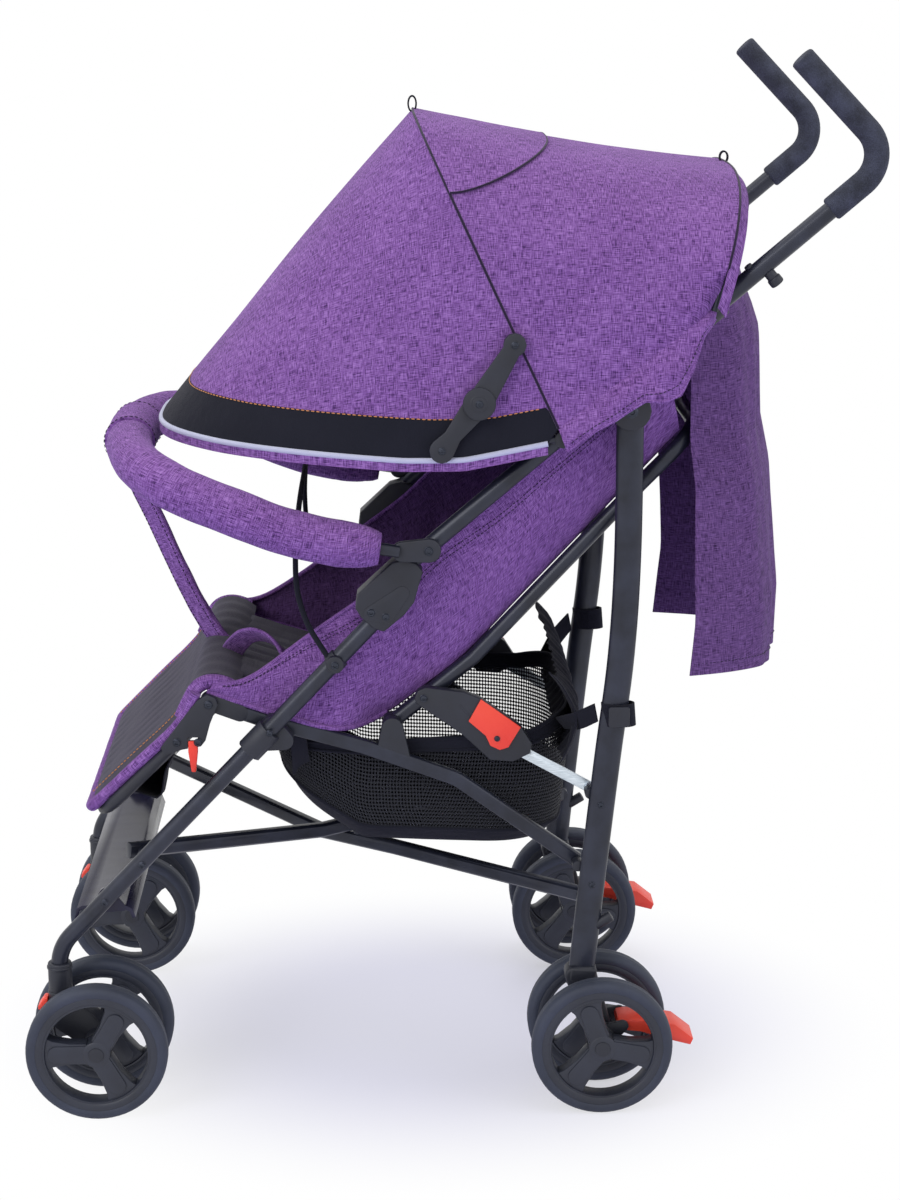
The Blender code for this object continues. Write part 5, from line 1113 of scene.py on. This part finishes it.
seatFold = {"toBody": "backrest", "line": [spot(0, 0.028, 0.405), spot(0, 0.088, 0.470)]}
seatTubes = ["seat_rail_left_bar", "seat_rail_right_bar", "backrest_frame_tube"]
for side, sign in sides:
    rows = [[panelPoint(i, j / 14, sign) for j in range(15)] for i in seatRows]
    # the far side panel takes the curtain cloth, the purple with painted shade
    cloth("seat_side_" + side, rows, "purple" if sign > 0 else "curtain", "stretched",
          ["seat_rail_%s_bar" % side, "backrest_frame_tube"], 0.0018, replaces=["seat_sling"] if sign > 0 else [], **seatFold)
    cord("seat_side_hem_" + side, [panelPoint(i, 1.0, sign) for i in seatRows], 70, 0.0026, "purple", sides=12, **seatFold)
    for n, deep in enumerate((0.86, 0.82)):
        stitchLine("seat_side_stitch_%s_%d" % (side, n), [panelPoint(i, deep, sign, 0.0013) for i in seatRows[2:]],
                   (0.003, 0.0014, 0.0005), **seatFold)
    # bound edge along the rail
    bound = [panelPoint(i, 0.0, sign, 0.0004) + Vector((0, 0, -0.0008)) for i in range(26)]
    cord("seat_edge_binding_" + side, bound, 60, 0.0035, "purple", sides=14, height=0.0030, **seatFold)
# the seat base takes the half bright copy of the purple: painted shade inside the seat
rows = [[spot(p.x * (j / 10 - 1), p.y, p.z - 0.0012 + 0.0006 * sin(3 * j)) for j in range(21)] for p in edgeRun]
cloth("seat_base", rows, "deepShadePurple", "stretched", seatTubes, 0.0014, **seatFold)
# loop of the side panel over the back tube
loopRun = [(0.1775, 0.318, 0.802), (0.1805, 0.334, 0.822), (0.1905, 0.345, 0.8415), (0.2030, 0.3440, 0.8400),
           (0.2048, 0.3380, 0.8330), (0.1960, 0.3300, 0.8180), (0.1800, 0.322, 0.800)]
for side, sign in sides:
    loop = softPath([(sign * x, y, z) for x, y, z in loopRun], 6, 36)
    dress(sweepTube("seat_loop_" + side, loop, softBox(0.018, 0.0016, 0.0007, 2), side=(0, 0.76, 0.65)), "purple", angle=60)
print("seat cover")


# pads: crowned closed forms with sewn channels

calfTaper = 0.08
padGrid = {"rows": 64, "columns": 56, "channel": 0.17, "channelHalf": 0.013, "lumps": 0.05}


def middlePath(points, steps, count):
    return evenPath(smoothPath([Vector((0, y, z)) for y, z in points], steps), count)


def padForm(name, points, half, thick, channels, replaces, body="chassis", taper=0.0, lines=None):
    rows, columns = padGrid["rows"], padGrid["columns"]
    path = middlePath(points, 10, rows)
    verts, coords, faces = [], [], []
    tops, bases = [], []
    for i, p in enumerate(path):
        run = (path[min(i + 1, rows - 1)] - path[max(i - 1, 0)]).normalized()
        out = Vector((0, run.z, -run.y))
        v = i / (rows - 1)
        end = min(1.0, min(v, 1 - v) * 9) ** 0.5
        bend = lines(v) if lines else 0.0
        wide = half * (1 - taper * v)
        tops.append([])
        bases.append([])
        for j in range(columns + 1):
            u = 2 * j / columns - 1
            edge = min(1.0, (1 - abs(u)) * 7) ** 0.5
            depth = 0.30 + 0.70 * edge * end * (0.86 + 0.14 * (1 - u * u))
            for channel in channels:
                depth -= padGrid["channel"] * end * math.exp(-((abs(u) - channel - bend) / padGrid["channelHalf"]) ** 2)
            depth += padGrid["lumps"] * ruffle(u * 5, v * 9, 3) * edge * end
            x = wide * (u - 0.02 * u * edge)
            q = p + out * thick * max(0.22, depth)
            for row, point in ((tops[-1], spot(x, q.y, q.z)), (bases[-1], spot(wide * u * 0.985, p.y, p.z))):
                row.append(len(verts))
                verts.append(point)
                coords.append((x, v * 0.3))
    for i in range(rows - 1):
        for j in range(columns):
            faces.append((tops[i][j], tops[i][j + 1], tops[i + 1][j + 1], tops[i + 1][j]))
            faces.append((bases[i][j], bases[i + 1][j], bases[i + 1][j + 1], bases[i][j + 1]))
        for j in (0, columns):
            faces.append((tops[i][j], tops[i + 1][j], bases[i + 1][j], bases[i][j]))
    for j in range(columns):
        for i in (0, rows - 1):
            faces.append((tops[i][j], tops[i][j + 1], bases[i][j + 1], bases[i][j]))
    piece = newMesh(name, verts, faces, coords)
    faceOut(piece)
    dress(piece, "charcoal", body, replaces, angle=70)
    return path


padForm("seat_pad_cover", [(0.0164, 0.4152), (-0.010, 0.4124), (-0.070, 0.4290), (-0.118, 0.4452), (-0.132, 0.4503)],
        0.137, 0.016, (0.0, 0.22, 0.44, 0.66), ["seat_pad"])
calfPath = padForm("calf_pad_cover", [(-0.1545, 0.4500), (-0.1733, 0.4146), (-0.2196, 0.3690), (-0.2695, 0.3199)],
                   0.170, 0.013, (0.06, 0.24, 0.42, 0.60, 0.78), ["calf_pad"], "legrest", calfTaper, lambda v: -0.07 * v ** 1.4)
padForm("backrest_pad_cover", [(0.3400, 0.7204), (0.298, 0.6754), (0.243, 0.6160), (0.183, 0.5515), (0.1255, 0.4895),
                               (0.084, 0.4553), (0.059, 0.4362)], 0.132, 0.018, (0.5,), ["backrest_pad"], "backrest")
# the cover rolls from the seat over the front edge to the calf pad
foldRun = middlePath([(-0.112, 0.4560), (-0.126, 0.4650), (-0.142, 0.4680), (-0.156, 0.4625), (-0.165, 0.4480),
                      (-0.174, 0.4290)], 6, 20)
foldLine = {"toBody": "legrest", "line": [spot(0, -0.120, 0.460), spot(0, -0.172, 0.430)]}
foldUs = [j / 28 - 1 for j in range(57)]
foldRows = [[spot(0.160 * u, p.y, p.z - 0.0007 * (1 + cos(28 * u))) for u in foldUs] for p in foldRun]
cloth("pad_fold", foldRows, "charcoal", "laid", ["seat_pad_cover", "calf_pad_cover"], 0.0040, **foldLine)
for side, sign in sides:
    edge = [spot(sign * 0.1650, p.y, p.z - 0.0055) for p in foldRun[2:]]
    cord("pad_fold_binding_" + side, edge, 30, 0.0078, "purple", sides=18, **foldLine)


# purple binding round the calf pad, with a stitched line inside it
def calfEdge(sign, half, out, start=0):
    last = len(calfPath) - 1
    return [spot(sign * half * (1 - calfTaper * i / last), calfPath[i].y, calfPath[i].z) + Vector(out)
            for i in range(start, last + 1 - start)]


rim = calfEdge(1, 0.1755, (0, -0.003, 0.003)) + calfEdge(-1, 0.1755, (0, -0.003, 0.003))[::-1]
rim = evenPath(roundCorners(evenPath(rim, 60), 0.006, 2), 220)
binding = sweepTube("calf_pad_binding", rim, ring(0.0062, 16), side=None,
                    ripple=lambda v, a: 0.05 * ruffle(v * 40, cos(a), sin(a)))
dress(binding, "purple", "legrest", angle=70)
for sign in (1, -1):
    stitchLine("calf_pad_stitch_%d" % (sign + 1), calfEdge(sign, 0.152, (0, -0.0082, 0.0088), 2), (0.0034, 0.0014, 0.0006),
               "thread", "legrest")
# dark cloth pocket under the calf pad
pocket = middlePath([(-0.180, 0.388), (-0.193, 0.360), (-0.199, 0.330), (-0.212, 0.331), (-0.234, 0.338),
                     (-0.254, 0.3215)], 6, 18)
pocketRows = [[spot(0.158 * (j / 12 - 1), p.y, p.z - 0.004 * cos(j * 0.9) * sin(pi * i / 17)) for j in range(25)]
              for i, p in enumerate(pocket)]
cloth("calf_pocket", pocketRows, "band", "hung", ["legrest_frame_fine"], 0.0014, "legrest")
print("pads")

# waist strap that stands up beside the crotch strap
waistPath = softPath([(0.050, -0.128, 0.4600), (0.072, -0.120, 0.4760), (0.088, -0.108, 0.4900), (0.100, -0.092, 0.4940),
                      (0.112, -0.074, 0.4860), (0.120, -0.058, 0.4620)], 8, 44)
dress(sweepTube("waist_strap", waistPath, softBox(0.024, 0.0040, 0.0018, 3), side=(0.5, -0.5, 0.7)), "purple", angle=60)


# basket

basket = {"front": -0.082, "rear": 0.240, "half": 0.154, "columns": 96, "floor": 0.2690, "rim": 0.386, "wave": 0.0025}
# levels 0 to 4 go out over the floor and levels 4 to 8 up the wall
floorLifts = (0.0, 0.0, 0.004, 0.014, 0.030)
wallShares = (0.0, 0.25, 0.5, 0.75, 1.0)
shrinks = (0.04, 0.35, 0.70, 0.88, 0.955, 0.985, 1.0, 1.005, 1.01)
mesh = {"slot": "mesh_fabric"}


def basketPoint(level, angle):
    shrink = between(shrinks, level)
    c, s = cos(angle), sin(angle)
    cx, cy = math.copysign(abs(c) ** 0.5, c), math.copysign(abs(s) ** 0.5, s)
    y = (basket["front"] + basket["rear"]) / 2 + (basket["rear"] - basket["front"]) / 2 * cy * shrink
    x = basket["half"] * cx * shrink
    t = clamp((y - basket["front"]) / (basket["rear"] - basket["front"]))
    low = basket["floor"] - 0.016 * t + 0.052 * max(0.0, 0.30 - t) / 0.30
    top = basket["rim"] + 0.016 * t + 0.012 * max(0.0, (t - 0.86) / 0.14)
    if level < 4:
        z = low + between(floorLifts, level)
    else:
        z = low + floorLifts[-1] + (top - low - floorLifts[-1]) * between(wallShares, level - 4)
    wave = basket["wave"] * ruffle(x * 18, y * 18, z * 14)
    return spot(x + cx * wave, y + cy * wave, z)


# gathered pocket behind the basket, slung between the leg straps
def rearPocket(i, j):
    u, v = j / 40 - 1, i / 12
    top = 0.440 + 0.030 * abs(u) ** 3
    z = top + (0.372 - top) * v
    pleat = 0.0030 * sin(46 * u + 1.5 * v) * (0.4 + 0.6 * sin(pi * v))
    pleat += 0.003 * ruffle(u * 6, v * 3, 8)
    return spot(0.166 * u, 0.226 + 0.020 * v * (1 - v) * 4 - 0.016 * abs(u) ** 4 * (1 - v) + pleat, z)


turns = circle(basket["columns"], True)
hangers = ["seat_rail_left_bar", "rear_leg_left_tube"]
for name, low, rise, steps, finish, rests, thick, replaces in (
        ("floor", 0.0, 4.0, 12, "band", hangers, 0.0014, ["basket"]),
        ("netting", 4.0, 3.5, 12, "netting", ["basket_band"], 0.0009, ()),
        ("band", 7.5, 0.5, 4, "band", hangers, 0.0018, ())):
    rows = [[basketPoint(low + rise * i / steps, a) for a in turns] for i in range(steps + 1)]
    cloth("basket_" + name, rows, finish, "hung", rests, thick, replaces=replaces, **mesh)
rows = [[rearPocket(i, j) for j in range(81)] for i in range(13)]
cloth("basket_rear_pocket", rows, "band", "hung", ["basket_band"], 0.0012, **mesh)
for n, level in enumerate((8.0, 7.5, 4.0)):
    binding = [basketPoint(level, a) for a in turns[:-1]]
    cord("basket_binding_%d" % n, binding + binding[:1], 0, 0.0022, "band", sides=10, **mesh)
# both edges of each hanging strap
hangStraps = {"front": [[(0.123, -0.060, 0.346), (0.150, -0.060, 0.380), (0.1660, -0.063, 0.4100)],
                        [(0.123, -0.040, 0.344), (0.150, -0.042, 0.378), (0.1660, -0.044, 0.4060)]],
              "rear": [[(0.128, 0.222, 0.408), (0.162, 0.238, 0.424), (0.1820, 0.258, 0.440)],
                       [(0.128, 0.232, 0.396), (0.162, 0.246, 0.406), (0.1820, 0.262, 0.420)]]}
for side, sign in sides:
    for tag, edges in hangStraps.items():
        rows = [softPath([(sign * x, y, z) for x, y, z in edge], 6, 13) for edge in edges]
        cloth("basket_strap_%s_%s" % (tag, side), rows, "band", "stretched", ["seat_rail_%s_bar" % side], 0.0020, **mesh)
    # strap round the rear leg, with its buckle
    band = [(0.2835 + 0.0168 * sin(t), 0.0102 * cos(t)) for t in circle(32, True)]
    rows = [[spot(sign * sideX + x, y - z * 0.08, 0.420 + z) for y, x in band] for z in (0.0, 0.008, 0.016, 0.024)]
    cloth("leg_strap_" + side, rows, "band", "stretched", ["rear_leg_%s_tube" % side], 0.0016, "rear_frame")
    sidePlate("leg_buckle_" + side, roundHull(*[(y, z, 0.003) for y in (0.274, 0.290) for z in (0.424, 0.440)]),
              sign * 0.2030, sign * 0.2062, body="rear_frame")
print("basket")


# curtain behind the hood

curtain = {"half": 0.158, "rows": 46, "columns": 90, "hem": 0.468}
# its middle line from above (z, y)
curtainBack = [(0.974, 0.413), (0.894, 0.416), (0.842, 0.434), (0.816, 0.440), (0.715, 0.445), (0.665, 0.456),
               (0.565, 0.465), (0.526, 0.469), (0.440, 0.467)]


def curtainDepth(z):
    for (z1, y1), (z2, y2) in zip(curtainBack, curtainBack[1:]):
        if z >= z2:
            return y1 + (y2 - y1) * clamp((z1 - z) / (z1 - z2))
    return curtainBack[-1][1]


def curtainPoint(t, u, proud=0.0):
    x = curtain["half"] * u
    # where the rear bow is at this width
    c = min(1.0, abs(x) / hood["half"]) ** (hood["square"] / 2)
    r = hood["rearReach"] * math.sqrt(1 - c * c) ** (2 / hood["square"])
    lean = radians(hood["rearLean"])
    topY = hood["rearBase"][0] + r * cos(lean) + 0.0086
    topZ = hood["rearBase"][1] + r * sin(lean) - 0.0100
    z = topZ + (curtain["hem"] - 0.012 * (1 - u) - topZ) * t
    hang = min(1.0, t * 3)
    hang = hang * hang * (3 - 2 * hang)
    fold = 0.0045 * sin(2 * pi * 1.3 * u + 0.9 + 0.9 * t) * min(1.0, t * 1.6)
    ripple = 0.0014 * sin(31 * u + 4 * t) * min(1.0, t * 2)
    fold += 0.0030 * ruffle(u * 9, t * 3.2, 5) * min(1.0, t * 4) + ripple
    loose = curtainDepth(z) - (0.045 * u * u + 0.062 * u ** 6) * (0.75 + 0.25 * t) + fold
    y = topY + (loose - topY) * hang
    sway = 0.004 * sin(5 * t + 3 * u) * t
    return spot(x * (1 + 0.10 * t) + sway, y - proud, z)


curtainPush = {"toBody": "backrest", "line": [spot(0.0, 0.430, 0.850), spot(0.0, 0.460, 0.270)]}
us = [2 * j / curtain["columns"] - 1 for j in range(curtain["columns"] + 1)]
rows = [[curtainPoint(i / curtain["rows"], u) for u in us] for i in range(curtain["rows"] + 1)]
# painted shade: the curtain takes the darker copy of the purple, for the shade behind the hood
cloth("rear_curtain", rows, "curtain", "hung", [rearRod], 0.0014, replaces=["rear_flap"], **curtainPush)
stitchLine("rear_curtain_hem", [curtainPoint(0.975, u, -0.0012) for u in us], hemStitch, **curtainPush)
print("curtain")
